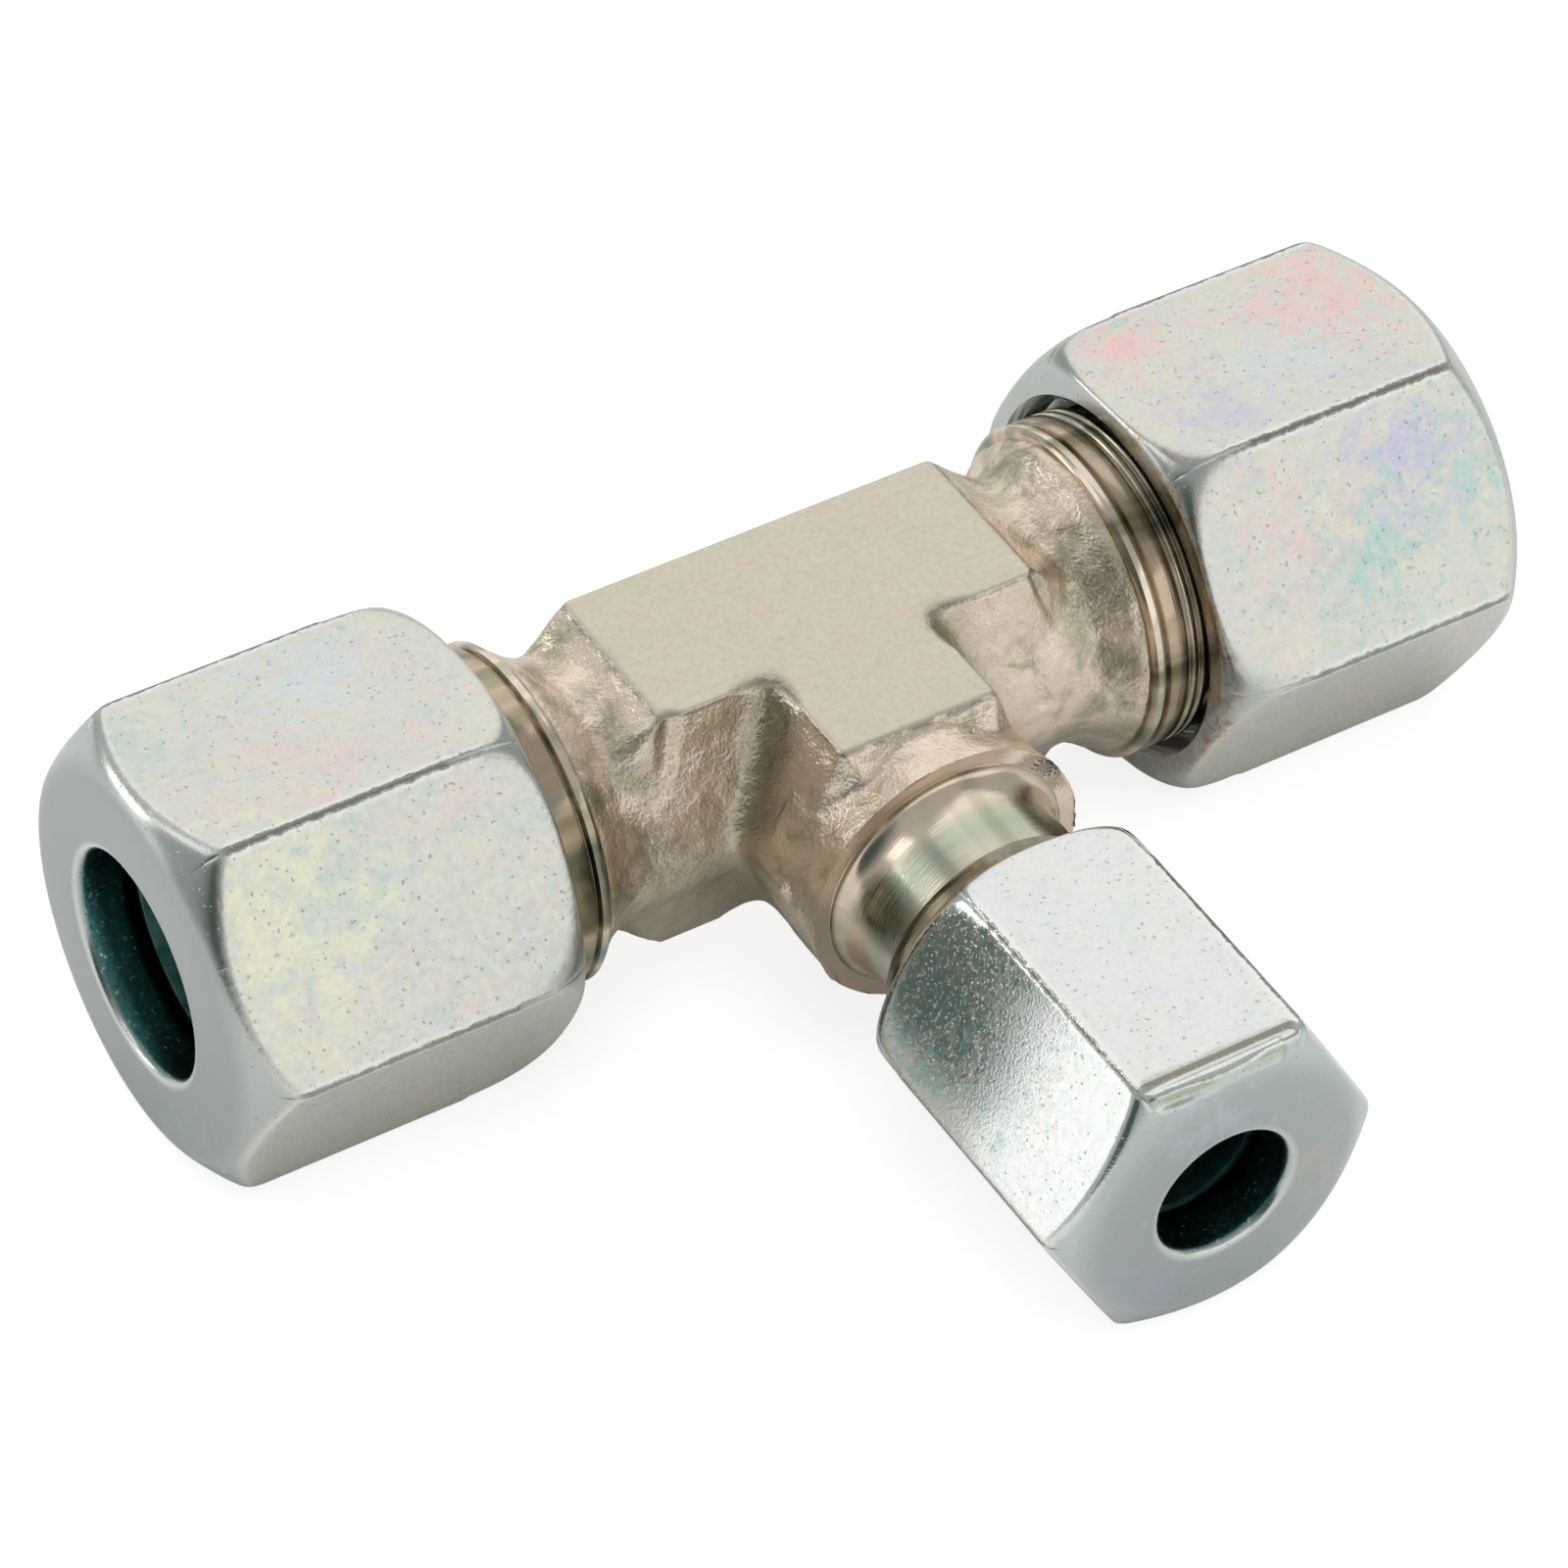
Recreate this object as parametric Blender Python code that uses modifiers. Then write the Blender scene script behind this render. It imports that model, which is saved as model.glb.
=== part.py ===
"""Reducing tee for cutting-ring tube joints, 10 mm tube on the run and 6 mm tube on the branch.

The forged body has a threaded stub at each port. A hex union nut holds a cutting ring
in the 24 degree cone of each stub. The tee lies as it comes to rest with no tubes in it:
on one flat of each run nut, with the branch turned down until its own nut touches.
Metres, +Z up, origin under the middle of the part, on the surface it lies on.
"""
import math

import bmesh
import bpy
from mathutils import Matrix

MM = 0.001

# Run ports: 10 mm tube, so M16 x 1.5 threads and nuts 19 mm across flats
RUN_TUBE = 10.0 * MM
RUN_CONE_FLARE = 1.15 * MM
RUN_STUB_END = 22.0 * MM
RUN_NUT_WALL = 1.5 * MM
RUN_NUT_LENGTH = 16.4 * MM
RUN_NUT_FACE_INSET = 0.7 * MM
RUN_NUT_FACE_ANGLE = math.radians(40)
RUN_NUT_LEAD_IN = 0.5 * MM
RUN_RING_LENGTH = 9.5 * MM
RUN_RING_WALL = 1.3 * MM

# Branch port: 6 mm tube, so an M12 x 1.5 thread and a nut 14 mm across flats
BRANCH_TUBE = 6.0 * MM
BRANCH_CONE_FLARE = 1.05 * MM
BRANCH_STUB_END = 23.2 * MM
BRANCH_NUT_WALL = 1.0 * MM
BRANCH_NUT_LENGTH = 15.3 * MM
BRANCH_NUT_FACE_INSET = 0.8 * MM
BRANCH_NUT_FACE_ANGLE = math.radians(30)
BRANCH_NUT_LEAD_IN = 0.3 * MM
BRANCH_RING_LENGTH = 9.0 * MM
BRANCH_RING_WALL = 1.25 * MM

# Sizes shared by all the ports
STUB_WALL = 3.0 * MM
SOCKET_LEDGE = 1.0 * MM
SOCKET_DEPTH = 7.0 * MM
NUT_BORE_LENGTH = 2.1 * MM
NUT_BACK_LAND = 0.1 * MM
THREAD_PITCH = 1.5 * MM
PITCH_LINE_DEPTH = 0.325 * THREAD_PITCH
ROOT_DEPTH = 0.613 * THREAD_PITCH
THREAD_GAP = 0.3 * MM
SEAT_GAP = 0.3 * MM
CONE_HALF_ANGLE = math.radians(12)
TUBE_FIT = 0.05 * MM
NUT_TUBE_FIT = 0.15 * MM
STUB_CHAMFER = 0.8 * MM
RING_NOSE_WALL = 0.4 * MM
RING_STEP = 0.2 * MM
RING_EDGE_LAND = 1.4 * MM
RING_RELIEF_LENGTH = 1.6 * MM
RING_RELIEF_DEPTH = 0.25 * MM
NUT_COUNTERBORE_DEPTH = 1.6 * MM
NUT_COUNTERBORE_FIT = 0.2 * MM
NUT_CAVITY_FIT = 0.45 * MM
NUT_CAVITY_LENGTH = 2.2 * MM
NUT_RIM = 0.15 * MM
BLANK_MARGIN = 0.6 * MM
DOME_MARGIN = 0.05 * MM

# Forged body: flat pads above and below, flanks drafted out to the parting plane
PAD_HEIGHT = 6.75 * MM
RUN_PAD_HALF_WIDTH = 4.2 * MM
RUN_SIDE = 6.2 * MM
RUN_PAD_END = 9.2 * MM
RUN_NECK = 11.0 * MM
RUN_FLARE = 11.9 * MM
RUN_NECK_RADIUS = 6.1 * MM
RUN_COLLAR_START = 13.8 * MM
RUN_COLLAR_END = 15.4 * MM
RUN_COLLAR_DROP = 0.2 * MM
RUN_FORGED_RADIUS = 7.5 * MM
BRANCH_PAD_HALF_WIDTH = 3.8 * MM
BRANCH_SIDE = 6.7 * MM
BRANCH_PAD_END = 9.6 * MM
BRANCH_NECK = 10.9 * MM
BRANCH_FLARE = 11.1 * MM
BRANCH_NECK_RADIUS = 6.35 * MM
BRANCH_CUT_FACE = 12.3 * MM
BRANCH_FORGED_RADIUS = 6.6 * MM
BRANCH_STEP_DROP = 0.05 * MM
BRANCH_FILLET_END = 13.9 * MM
BRANCH_THREAD_START = 16.3 * MM
RELIEF_WIDTH = 0.8 * MM
RELIEF_RAMP = 0.2 * MM
SPIGOT_LENGTH = 1.4 * MM
SPIGOT_INSET = 2.8 * MM
RUN_FLASH = 0.10 * MM
BRANCH_FLASH = 0.20 * MM
ARM_ROOT = 1.3 * MM
CUTTER_OVERRUN = 1.0 * MM

# Mesh resolution
TURN_STEPS = 48
FLANK_POINTS = 7
PAD_POINTS = 3
BLEND_POINTS = 5
FILLET_POINTS = 5
DOME_POINTS = 6
PAD_CRISPNESS = 60
AXIS_MERGE = 0.00001


class Port:
    """Radii and places of one port, measured along its axis from the crossing of the axes."""

    def __init__(self, tube, cone_flare, stub_end):
        self.tube_radius = tube / 2 + TUBE_FIT
        self.flow_radius = tube / 2 - SOCKET_LEDGE
        self.thread_radius = tube / 2 + STUB_WALL
        pitch_radius = self.thread_radius - PITCH_LINE_DEPTH
        self.stub_radius = pitch_radius - THREAD_GAP / 2
        self.nut_thread_radius = pitch_radius + THREAD_GAP / 2
        self.root_radius = self.thread_radius - ROOT_DEPTH
        self.mouth_radius = tube / 2 + cone_flare
        self.stub_end = stub_end
        self.socket_end = stub_end - SOCKET_DEPTH
        cone_length = (self.mouth_radius - self.tube_radius) / math.tan(CONE_HALF_ANGLE)
        self.cone_end = stub_end - cone_length

    def seat_ring(self, length, wall):
        """The ring's cone lies parallel to the stub's, one seat gap inside it."""
        self.nose_radius = self.tube_radius + RING_NOSE_WALL
        self.ring_radius = self.tube_radius + wall
        gap = SEAT_GAP / math.cos(CONE_HALF_ANGLE)
        depth = (self.mouth_radius - self.nose_radius - gap) / math.tan(CONE_HALF_ANGLE)
        self.ring_nose = self.stub_end - depth
        self.ring_tail = self.ring_nose + length
        self.tail_radius = self.tube_radius + RING_NOSE_WALL

    def seat_nut(self, wall, length, face_inset, face_angle, lead_in):
        """The nut's 45 degree shoulder lies one seat gap behind the ring's tail."""
        self.half_flats = self.thread_radius + wall
        self.corner_radius = self.half_flats / math.cos(math.pi / 6)
        self.nut_bore_radius = self.tube_radius - TUBE_FIT + NUT_TUBE_FIT
        self.shoulder_line = self.tail_radius + self.ring_tail + SEAT_GAP * math.sqrt(2)
        self.shoulder_end = self.shoulder_line - self.nut_bore_radius
        self.nut_outer = self.shoulder_end + NUT_BORE_LENGTH
        self.nut_inner = self.nut_outer - length
        self.face_radius = self.half_flats - face_inset
        self.face_angle = face_angle
        self.nut_mouth_radius = self.thread_radius + lead_in
        self.back_radius = self.nut_mouth_radius + NUT_BACK_LAND


run = Port(RUN_TUBE, RUN_CONE_FLARE, RUN_STUB_END)
run.seat_ring(RUN_RING_LENGTH, RUN_RING_WALL)
run.seat_nut(RUN_NUT_WALL, RUN_NUT_LENGTH, RUN_NUT_FACE_INSET, RUN_NUT_FACE_ANGLE, RUN_NUT_LEAD_IN)

branch = Port(BRANCH_TUBE, BRANCH_CONE_FLARE, BRANCH_STUB_END)
branch.seat_ring(BRANCH_RING_LENGTH, BRANCH_RING_WALL)
branch.seat_nut(BRANCH_NUT_WALL, BRANCH_NUT_LENGTH, BRANCH_NUT_FACE_INSET,
                BRANCH_NUT_FACE_ANGLE, BRANCH_NUT_LEAD_IN)


def branch_droop():
    """Angle below level at which the branch nut's lower flat touches the surface."""
    edge_drop = (branch.half_flats - branch.face_radius) * math.tan(branch.face_angle)
    reach = branch.nut_outer - edge_drop
    distance = math.hypot(reach, branch.half_flats)
    return math.asin(run.half_flats / distance) - math.atan2(branch.half_flats, reach)


def clear_scene():
    for old in list(bpy.data.objects):
        bpy.data.objects.remove(old, do_unlink=True)


def new_collection(name):
    group = bpy.data.collections.new(name)
    bpy.context.scene.collection.children.link(group)
    return group


def plated_steel(name, colour, roughness):
    material = bpy.data.materials.new(name)
    material.use_nodes = True
    shader = material.node_tree.nodes["Principled BSDF"]
    shader.inputs["Base Color"].default_value = (*colour, 1.0)
    shader.inputs["Metallic"].default_value = 1.0
    shader.inputs["Roughness"].default_value = roughness
    return material


def add_object(name, mesh, group, parent, material=None):
    """An object in its collection; one without a material is a cutter or a guide."""
    made = bpy.data.objects.new(name, mesh)
    group.objects.link(made)
    made.parent = parent
    if material:
        mesh.materials.append(material)
    else:
        made.hide_render = True
        made.display_type = "WIRE"
    return made


def add_empty(name, group, parent, matrix):
    empty = bpy.data.objects.new(name, None)
    group.objects.link(empty)
    empty.parent = parent
    empty.matrix_local = matrix
    return empty


def turned(name, profile, group, parent, closed, material=None):
    """A profile of (radius, distance) points, outer side first and top down, turned about Z."""
    mesh = bpy.data.meshes.new(name)
    edges = [(i, i + 1) for i in range(len(profile) - 1)]
    if closed:
        edges.append((len(profile) - 1, 0))
    mesh.from_pydata([(radius, 0, distance) for radius, distance in profile], edges, [])
    made = add_object(name, mesh, group, parent, material)
    screw = made.modifiers.new("turn", "SCREW")
    screw.axis = "Z"
    screw.steps = TURN_STEPS
    screw.render_steps = TURN_STEPS
    screw.use_merge_vertices = True
    screw.merge_threshold = AXIS_MERGE
    screw.use_normal_calculate = False
    return made


def add_boolean(target, cutter, operation):
    boolean = target.modifiers.new(f"{operation.lower()} {cutter.name}", "BOOLEAN")
    boolean.operation = operation
    boolean.object = cutter
    boolean.solver = "EXACT"


def forged_radius(angle, half_width, height, side, flash, crispness):
    """Polar radius of a drafted section: a flat top meeting flanks that lean out to the side."""
    rise = abs(math.sin(angle))
    run_out = abs(math.cos(angle))
    lean = (side - half_width) / height
    flank = side / (run_out + lean * rise)
    if rise < 1e-9:
        return flank
    top = (height + flash) / rise
    return (flank ** -crispness + top ** -crispness) ** (-1 / crispness)


def section_angles(half_width):
    """Angles round a section, with one on each edge of the flat pads."""
    corner = math.atan2(PAD_HEIGHT, half_width)
    flank = [corner * i / FLANK_POINTS for i in range(FLANK_POINTS)]
    top = [corner + (math.pi / 2 - corner) * i / PAD_POINTS for i in range(PAD_POINTS)]
    quarter = flank + top
    angles = quarter + [math.pi - a for a in reversed(quarter[1:] + [math.pi / 2])]
    return angles + [math.pi + a for a in angles]


def arm_stations(pad, neck_radius, end_radius, places):
    """Sections along an arm: pad, rounded drop to a round neck, smooth flare to the end."""
    root, pad_end, neck_place, flare_place, arm_end = places
    stations = [(root, lambda angle: forged_radius(angle, *pad))]

    def dropped(blend):
        return lambda angle: (1 - blend) * forged_radius(angle, *pad) + blend * neck_radius

    def flared(blend):
        return lambda angle: (1 - blend) * neck_radius + blend * end_radius

    for i in range(BLEND_POINTS + 1):
        share = i / BLEND_POINTS
        stations.append((pad_end + (neck_place - pad_end) * share, dropped(share * share * (3 - 2 * share))))
    for i in range(BLEND_POINTS + 1):
        share = i / BLEND_POINTS
        stations.append((flare_place + (arm_end - flare_place) * share, flared(share * share)))
    return stations


def loft(name, stations, angles, group, parent, open_start, material=None):
    """A skin through the stations along +Z, with each section's width on X and height on Y."""
    shape = bmesh.new()
    rings = []
    for place, radius_at in stations:
        points = [(radius_at(a) * math.cos(a), radius_at(a) * math.sin(a), place) for a in angles]
        rings.append([shape.verts.new(point) for point in points])
    count = len(angles)
    for lower, upper in zip(rings, rings[1:]):
        for i in range(count):
            j = (i + 1) % count
            shape.faces.new((lower[i], lower[j], upper[j], upper[i]))
    shape.faces.new(rings[-1])
    if not open_start:
        shape.faces.new(list(reversed(rings[0])))
    mesh = bpy.data.meshes.new(name)
    shape.to_mesh(mesh)
    shape.free()
    return add_object(name, mesh, group, parent, material)


def run_stub_profile():
    """Outside of a run stub: spigot inside the forging, collar, thread relief, thread."""
    root = run.root_radius
    collar = run.thread_radius - RUN_COLLAR_DROP
    end = run.stub_end
    spigot = RUN_FORGED_RADIUS - SPIGOT_INSET
    return [
        (0, end),
        (run.stub_radius - STUB_CHAMFER, end),
        (run.stub_radius, end - STUB_CHAMFER),
        (run.stub_radius, RUN_COLLAR_END + RELIEF_WIDTH),
        (root, RUN_COLLAR_END + RELIEF_WIDTH - RELIEF_RAMP),
        (root, RUN_COLLAR_END + RELIEF_RAMP),
        (collar, RUN_COLLAR_END),
        (collar, RUN_COLLAR_START - RELIEF_RAMP),
        (spigot, RUN_COLLAR_START - RELIEF_RAMP),
        (spigot, RUN_COLLAR_START - SPIGOT_LENGTH),
        (0, RUN_COLLAR_START - SPIGOT_LENGTH),
    ]


def branch_fillet():
    """Concave quarter ellipse from the cut face down to the thread relief, outer end first."""
    step_radius = branch.thread_radius - BRANCH_STEP_DROP
    rise = step_radius - branch.root_radius
    length = BRANCH_FILLET_END - BRANCH_CUT_FACE
    points = []
    for i in range(FILLET_POINTS + 1):
        turn = math.pi / 2 * i / FILLET_POINTS
        radius = step_radius - rise * math.cos(turn)
        points.append((radius, BRANCH_FILLET_END - length * math.sin(turn)))
    return points


def branch_stub_profile():
    """Outside of the branch stub: spigot, filleted step, thread relief, thread."""
    end = branch.stub_end
    spigot = BRANCH_FORGED_RADIUS - SPIGOT_INSET
    thread_start = BRANCH_THREAD_START
    return [
        (0, end),
        (branch.stub_radius - STUB_CHAMFER, end),
        (branch.stub_radius, end - STUB_CHAMFER),
        (branch.stub_radius, thread_start),
        (branch.root_radius, thread_start - RELIEF_RAMP),
        *branch_fillet(),
        (spigot, BRANCH_CUT_FACE - RELIEF_RAMP),
        (spigot, BRANCH_CUT_FACE - SPIGOT_LENGTH),
        (0, BRANCH_CUT_FACE - SPIGOT_LENGTH),
    ]


def port_bore_profile(port):
    """Inside of a port from past its mouth down to the flow bore."""
    past_mouth = port.mouth_radius + CUTTER_OVERRUN * math.tan(CONE_HALF_ANGLE)
    return [
        (past_mouth, port.stub_end + CUTTER_OVERRUN),
        (port.tube_radius, port.cone_end),
        (port.tube_radius, port.socket_end),
        (port.flow_radius, port.socket_end),
    ]


def coining_blocks(tee, cutters):
    """Two blocks that press the flat T-shaped pads on the top and bottom of the forging."""
    shape = bmesh.new()
    size = Matrix.Diagonal((2 * RUN_NECK, 2 * RUN_NECK, PAD_HEIGHT, 1))
    for side in (1, -1):
        place = Matrix.Translation((0, 0, side * PAD_HEIGHT * 1.5))
        bmesh.ops.create_cube(shape, size=1, matrix=place @ size)
    mesh = bpy.data.meshes.new("coining_blocks")
    shape.to_mesh(mesh)
    shape.free()
    return add_object("coining_blocks", mesh, cutters, tee)


def make_body(tee, ports, parts, cutters, material):
    """One forging, turned and bored at its three ports."""
    side_on = Matrix.Rotation(math.pi / 2, 4, "X")
    pad = (RUN_PAD_HALF_WIDTH, PAD_HEIGHT, RUN_SIDE, RUN_FLASH, PAD_CRISPNESS)
    places = (0, RUN_PAD_END, RUN_NECK, RUN_FLARE, RUN_COLLAR_START)
    stations = arm_stations(pad, RUN_NECK_RADIUS, RUN_FORGED_RADIUS, places)
    along_run = Matrix.Rotation(math.pi / 2, 4, "Y") @ Matrix.Rotation(math.pi / 2, 4, "Z")
    body = loft("tee_body", stations, section_angles(RUN_PAD_HALF_WIDTH), parts, tee, True, material)
    body.data.transform(along_run)
    mirror = body.modifiers.new("both arms", "MIRROR")
    mirror.merge_threshold = AXIS_MERGE

    branch_pad = (BRANCH_PAD_HALF_WIDTH, PAD_HEIGHT, BRANCH_SIDE, BRANCH_FLASH, PAD_CRISPNESS)
    places = (-ARM_ROOT, BRANCH_PAD_END, BRANCH_NECK, BRANCH_FLARE, BRANCH_CUT_FACE)
    stations = arm_stations(branch_pad, BRANCH_NECK_RADIUS, BRANCH_FORGED_RADIUS, places)
    arm = loft("forged_branch", stations, section_angles(BRANCH_PAD_HALF_WIDTH), cutters, tee, False)
    arm.data.transform(side_on)
    add_boolean(body, arm, "UNION")
    add_boolean(body, coining_blocks(tee, cutters), "DIFFERENCE")

    for side in ("left", "right"):
        stub = turned(f"stub_{side}", run_stub_profile(), cutters, ports[side], False)
        add_boolean(body, stub, "UNION")
    stub = turned("stub_branch", branch_stub_profile(), cutters, ports["branch"], False)
    add_boolean(body, stub, "UNION")

    half = port_bore_profile(branch)
    depth = -branch.flow_radius / 2
    whole = [(0, half[0][1])] + half + [(branch.flow_radius, depth), (0, depth)]
    add_boolean(body, turned("branch_bore", whole, cutters, ports["branch"], False), "DIFFERENCE")
    half = port_bore_profile(run)
    whole = half + [(radius, -distance) for radius, distance in reversed(half)]
    whole = [(0, whole[0][1])] + whole + [(0, whole[-1][1])]
    add_boolean(body, turned("run_bore", whole, cutters, ports["right"], False), "DIFFERENCE")
    return body


def make_ring(side, port, empty, parts, material):
    """Cutting ring: 24 degree nose, two cutting edges inside it, 45 degree tail."""
    shoulder_radius = port.ring_radius - RING_STEP
    shoulder = (port.ring_nose
                + (shoulder_radius - port.nose_radius) / math.tan(CONE_HALF_ANGLE))
    relief_radius = port.tube_radius + RING_RELIEF_DEPTH
    relief_start = port.ring_nose + RING_EDGE_LAND
    relief_end = relief_start + RING_RELIEF_LENGTH
    profile = [
        (port.tail_radius, port.ring_tail),
        (port.ring_radius, port.ring_tail - (port.ring_radius - port.tail_radius)),
        (port.ring_radius, shoulder + RING_STEP),
        (shoulder_radius, shoulder),
        (port.nose_radius, port.ring_nose),
        (port.tube_radius, port.ring_nose),
        (port.tube_radius, relief_start),
        (relief_radius, relief_start + RING_RELIEF_DEPTH),
        (relief_radius, relief_end),
        (port.tube_radius, relief_end),
        (port.tube_radius, port.ring_tail),
    ]
    return turned(f"cutting_ring_{side}", profile, parts, empty, True, material)


def nut_back_dome(port):
    """Quarter round from the side of the blank to the back face, outer end first."""
    reach = port.corner_radius + DOME_MARGIN - port.back_radius
    points = []
    for i in range(DOME_POINTS + 1):
        turn = math.pi / 2 * i / DOME_POINTS
        points.append((port.back_radius + reach * math.cos(turn),
                       port.nut_inner + reach * (1 - math.sin(turn))))
    return points


def nut_blank_profile(port):
    """Turned nut before its flats: chamfered ends, tube bore, shoulder, cavity and thread."""
    blank = port.corner_radius + BLANK_MARGIN
    outer, inner = port.nut_outer, port.nut_inner
    dome = nut_back_dome(port)
    outer_cone = (blank - port.face_radius) * math.tan(port.face_angle)
    counterbore = port.thread_radius + NUT_COUNTERBORE_FIT
    lead_in = port.nut_mouth_radius - counterbore
    thread_start = inner + NUT_COUNTERBORE_DEPTH
    cavity = port.ring_radius + NUT_CAVITY_FIT
    shoulder_start = port.shoulder_line - cavity
    thread_end = shoulder_start - NUT_CAVITY_LENGTH
    return [
        (port.face_radius, outer),
        (blank, outer - outer_cone),
        (blank, dome[0][1] + BLANK_MARGIN),
        *dome,
        (port.nut_mouth_radius, inner),
        (counterbore, inner + lead_in),
        (counterbore, thread_start),
        (port.nut_thread_radius, thread_start + counterbore - port.nut_thread_radius),
        (port.nut_thread_radius, thread_end),
        (cavity, thread_end + port.nut_thread_radius - cavity),
        (cavity, shoulder_start),
        (port.nut_bore_radius, port.shoulder_end),
        (port.nut_bore_radius, outer - NUT_RIM),
        (port.nut_bore_radius + NUT_RIM, outer),
    ]


def make_nut(side, port, empty, parts, cutters, material):
    """Union nut: a turned blank milled to a hexagon, two of its flats level."""
    nut = turned(f"union_nut_{side}", nut_blank_profile(port), parts, empty, True, material)
    length = port.nut_outer - port.nut_inner + 2 * CUTTER_OVERRUN
    middle = (port.nut_outer + port.nut_inner) / 2
    shape = bmesh.new()
    bmesh.ops.create_cone(shape, segments=6, radius1=port.corner_radius,
                          radius2=port.corner_radius, depth=length, cap_ends=True,
                          matrix=Matrix.Translation((0, 0, middle)))
    mesh = bpy.data.meshes.new(f"hexagon_{side}")
    shape.to_mesh(mesh)
    shape.free()
    hexagon = add_object(f"hexagon_{side}", mesh, cutters, empty)
    add_boolean(nut, hexagon, "INTERSECT")
    return nut


def build():
    clear_scene()
    parts = new_collection("reducing_tee")
    cutters = new_collection("cutters")
    forged = plated_steel("forged zinc plate", (0.62, 0.57, 0.47), 0.38)
    bright = plated_steel("bright zinc plate", (0.80, 0.81, 0.76), 0.25)
    dark = plated_steel("hardened ring", (0.34, 0.40, 0.39), 0.35)

    droop = branch_droop()
    front = (branch.nut_outer * math.cos(droop) + branch.face_radius * math.sin(droop))
    back = run.corner_radius
    crossing = Matrix.Translation((0, (front - back) / 2, run.half_flats))
    level = add_empty("run_axis", parts, None, crossing)
    tee = add_empty("tee_frame", parts, None, crossing @ Matrix.Rotation(droop, 4, "X"))
    flats_up = Matrix.Rotation(math.pi / 2, 4, "X") @ Matrix.Rotation(math.pi / 2, 4, "Z")
    ports = {
        "left": add_empty("left_port", parts, level, Matrix.Rotation(-math.pi / 2, 4, "Y")),
        "right": add_empty("right_port", parts, level, Matrix.Rotation(math.pi / 2, 4, "Y")),
        "branch": add_empty("branch_port", parts, tee, flats_up),
    }
    sizes = {"left": run, "right": run, "branch": branch}
    for side, empty in ports.items():
        make_ring(side, sizes[side], empty, parts, dark)
        make_nut(side, sizes[side], empty, parts, cutters, bright)
    make_body(tee, ports, parts, cutters, forged)


build()
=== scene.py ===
import math

import bpy
from mathutils import Matrix, Vector


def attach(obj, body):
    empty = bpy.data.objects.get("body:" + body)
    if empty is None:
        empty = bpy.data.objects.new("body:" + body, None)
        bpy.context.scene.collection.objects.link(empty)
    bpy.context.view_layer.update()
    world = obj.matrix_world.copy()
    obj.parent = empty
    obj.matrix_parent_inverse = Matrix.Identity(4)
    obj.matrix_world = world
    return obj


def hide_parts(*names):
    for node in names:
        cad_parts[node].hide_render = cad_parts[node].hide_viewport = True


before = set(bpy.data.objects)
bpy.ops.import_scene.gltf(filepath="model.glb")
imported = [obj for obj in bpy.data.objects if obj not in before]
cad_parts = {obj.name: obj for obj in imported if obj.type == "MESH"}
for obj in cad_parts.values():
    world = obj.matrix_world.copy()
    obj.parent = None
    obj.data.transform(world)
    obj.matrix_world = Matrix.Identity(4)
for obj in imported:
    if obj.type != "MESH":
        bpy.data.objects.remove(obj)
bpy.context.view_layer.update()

# The forging: one drop-forged steel blank, T-shaped, with a flat coined pad above and below
# and flanks that lean out to the parting plane. Zinc plated, with the die's rough skin left
# on it everywhere but on the pads.
MM = 0.001
CROSSING = Vector((0, 11.524232, 9.5)) * MM
DROOP = math.radians(4.3558)
tee_place = Matrix.Translation(CROSSING) @ Matrix.Rotation(DROOP, 4, "X")
PAD_HEIGHT = 6.75
FLOW_RADIUS = 4.0
BRANCH_FLOW_RADIUS = 2.0
FORGED_END = 13.8
BRANCH_FORGED_END = 12.3
FORGED_VOXEL = 0.12


def start_piece():
    """Leaves nothing selected, so that the next primitive is alone in its edit mode."""
    if bpy.context.object and bpy.context.object.mode != "OBJECT":
        bpy.ops.object.mode_set(mode="OBJECT")
    bpy.ops.object.select_all(action="DESELECT")


def select_where(piece, test):
    """In edit mode, selects the vertices whose place passes the test, and what they bound."""
    bpy.ops.mesh.select_mode(type="VERT")
    bpy.ops.mesh.select_all(action="DESELECT")
    bpy.ops.object.mode_set(mode="OBJECT")
    for vertex in piece.data.vertices:
        vertex.select = test(vertex.co / MM)
    bpy.ops.object.mode_set(mode="EDIT")
    bpy.ops.mesh.select_mode(type="FACE")


def drafted_bar(name, start, sections):
    """A bar along +X with a flat top and leaning flanks. The first section is (end, pad, height,
    side), the next are (end, height, side), and their pads narrow with the sides."""
    start_piece()
    end, pad, height, side = sections[0]
    bpy.ops.mesh.primitive_cube_add(size=1, location=((start + end) / 2 * MM, 0, 0),
                                    scale=((end - start) * MM, 2 * pad * MM, 2 * height * MM))
    bar = bpy.context.object
    bar.name = name
    bpy.ops.object.transform_apply(location=True, rotation=True, scale=True)
    bpy.ops.object.mode_set(mode="EDIT")
    bpy.ops.mesh.select_all(action="SELECT")
    bpy.ops.mesh.bisect(plane_co=(0, 0, 0), plane_no=(0, 0, 1))
    bpy.ops.transform.resize(value=(1, side / pad, 1), center_override=(0, 0, 0))
    for next_end, next_height, next_side in sections[1:]:
        select_where(bar, lambda co: co.x > end - 0.01)
        bpy.ops.mesh.extrude_region_move(TRANSFORM_OT_translate={"value": ((next_end - end) * MM, 0, 0)})
        bpy.ops.transform.resize(value=(1, next_side / side, next_height / height),
                                 center_override=(0, 0, 0))
        end, height, side = next_end, next_height, next_side
    bpy.ops.object.mode_set(mode="OBJECT")
    return bar


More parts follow.
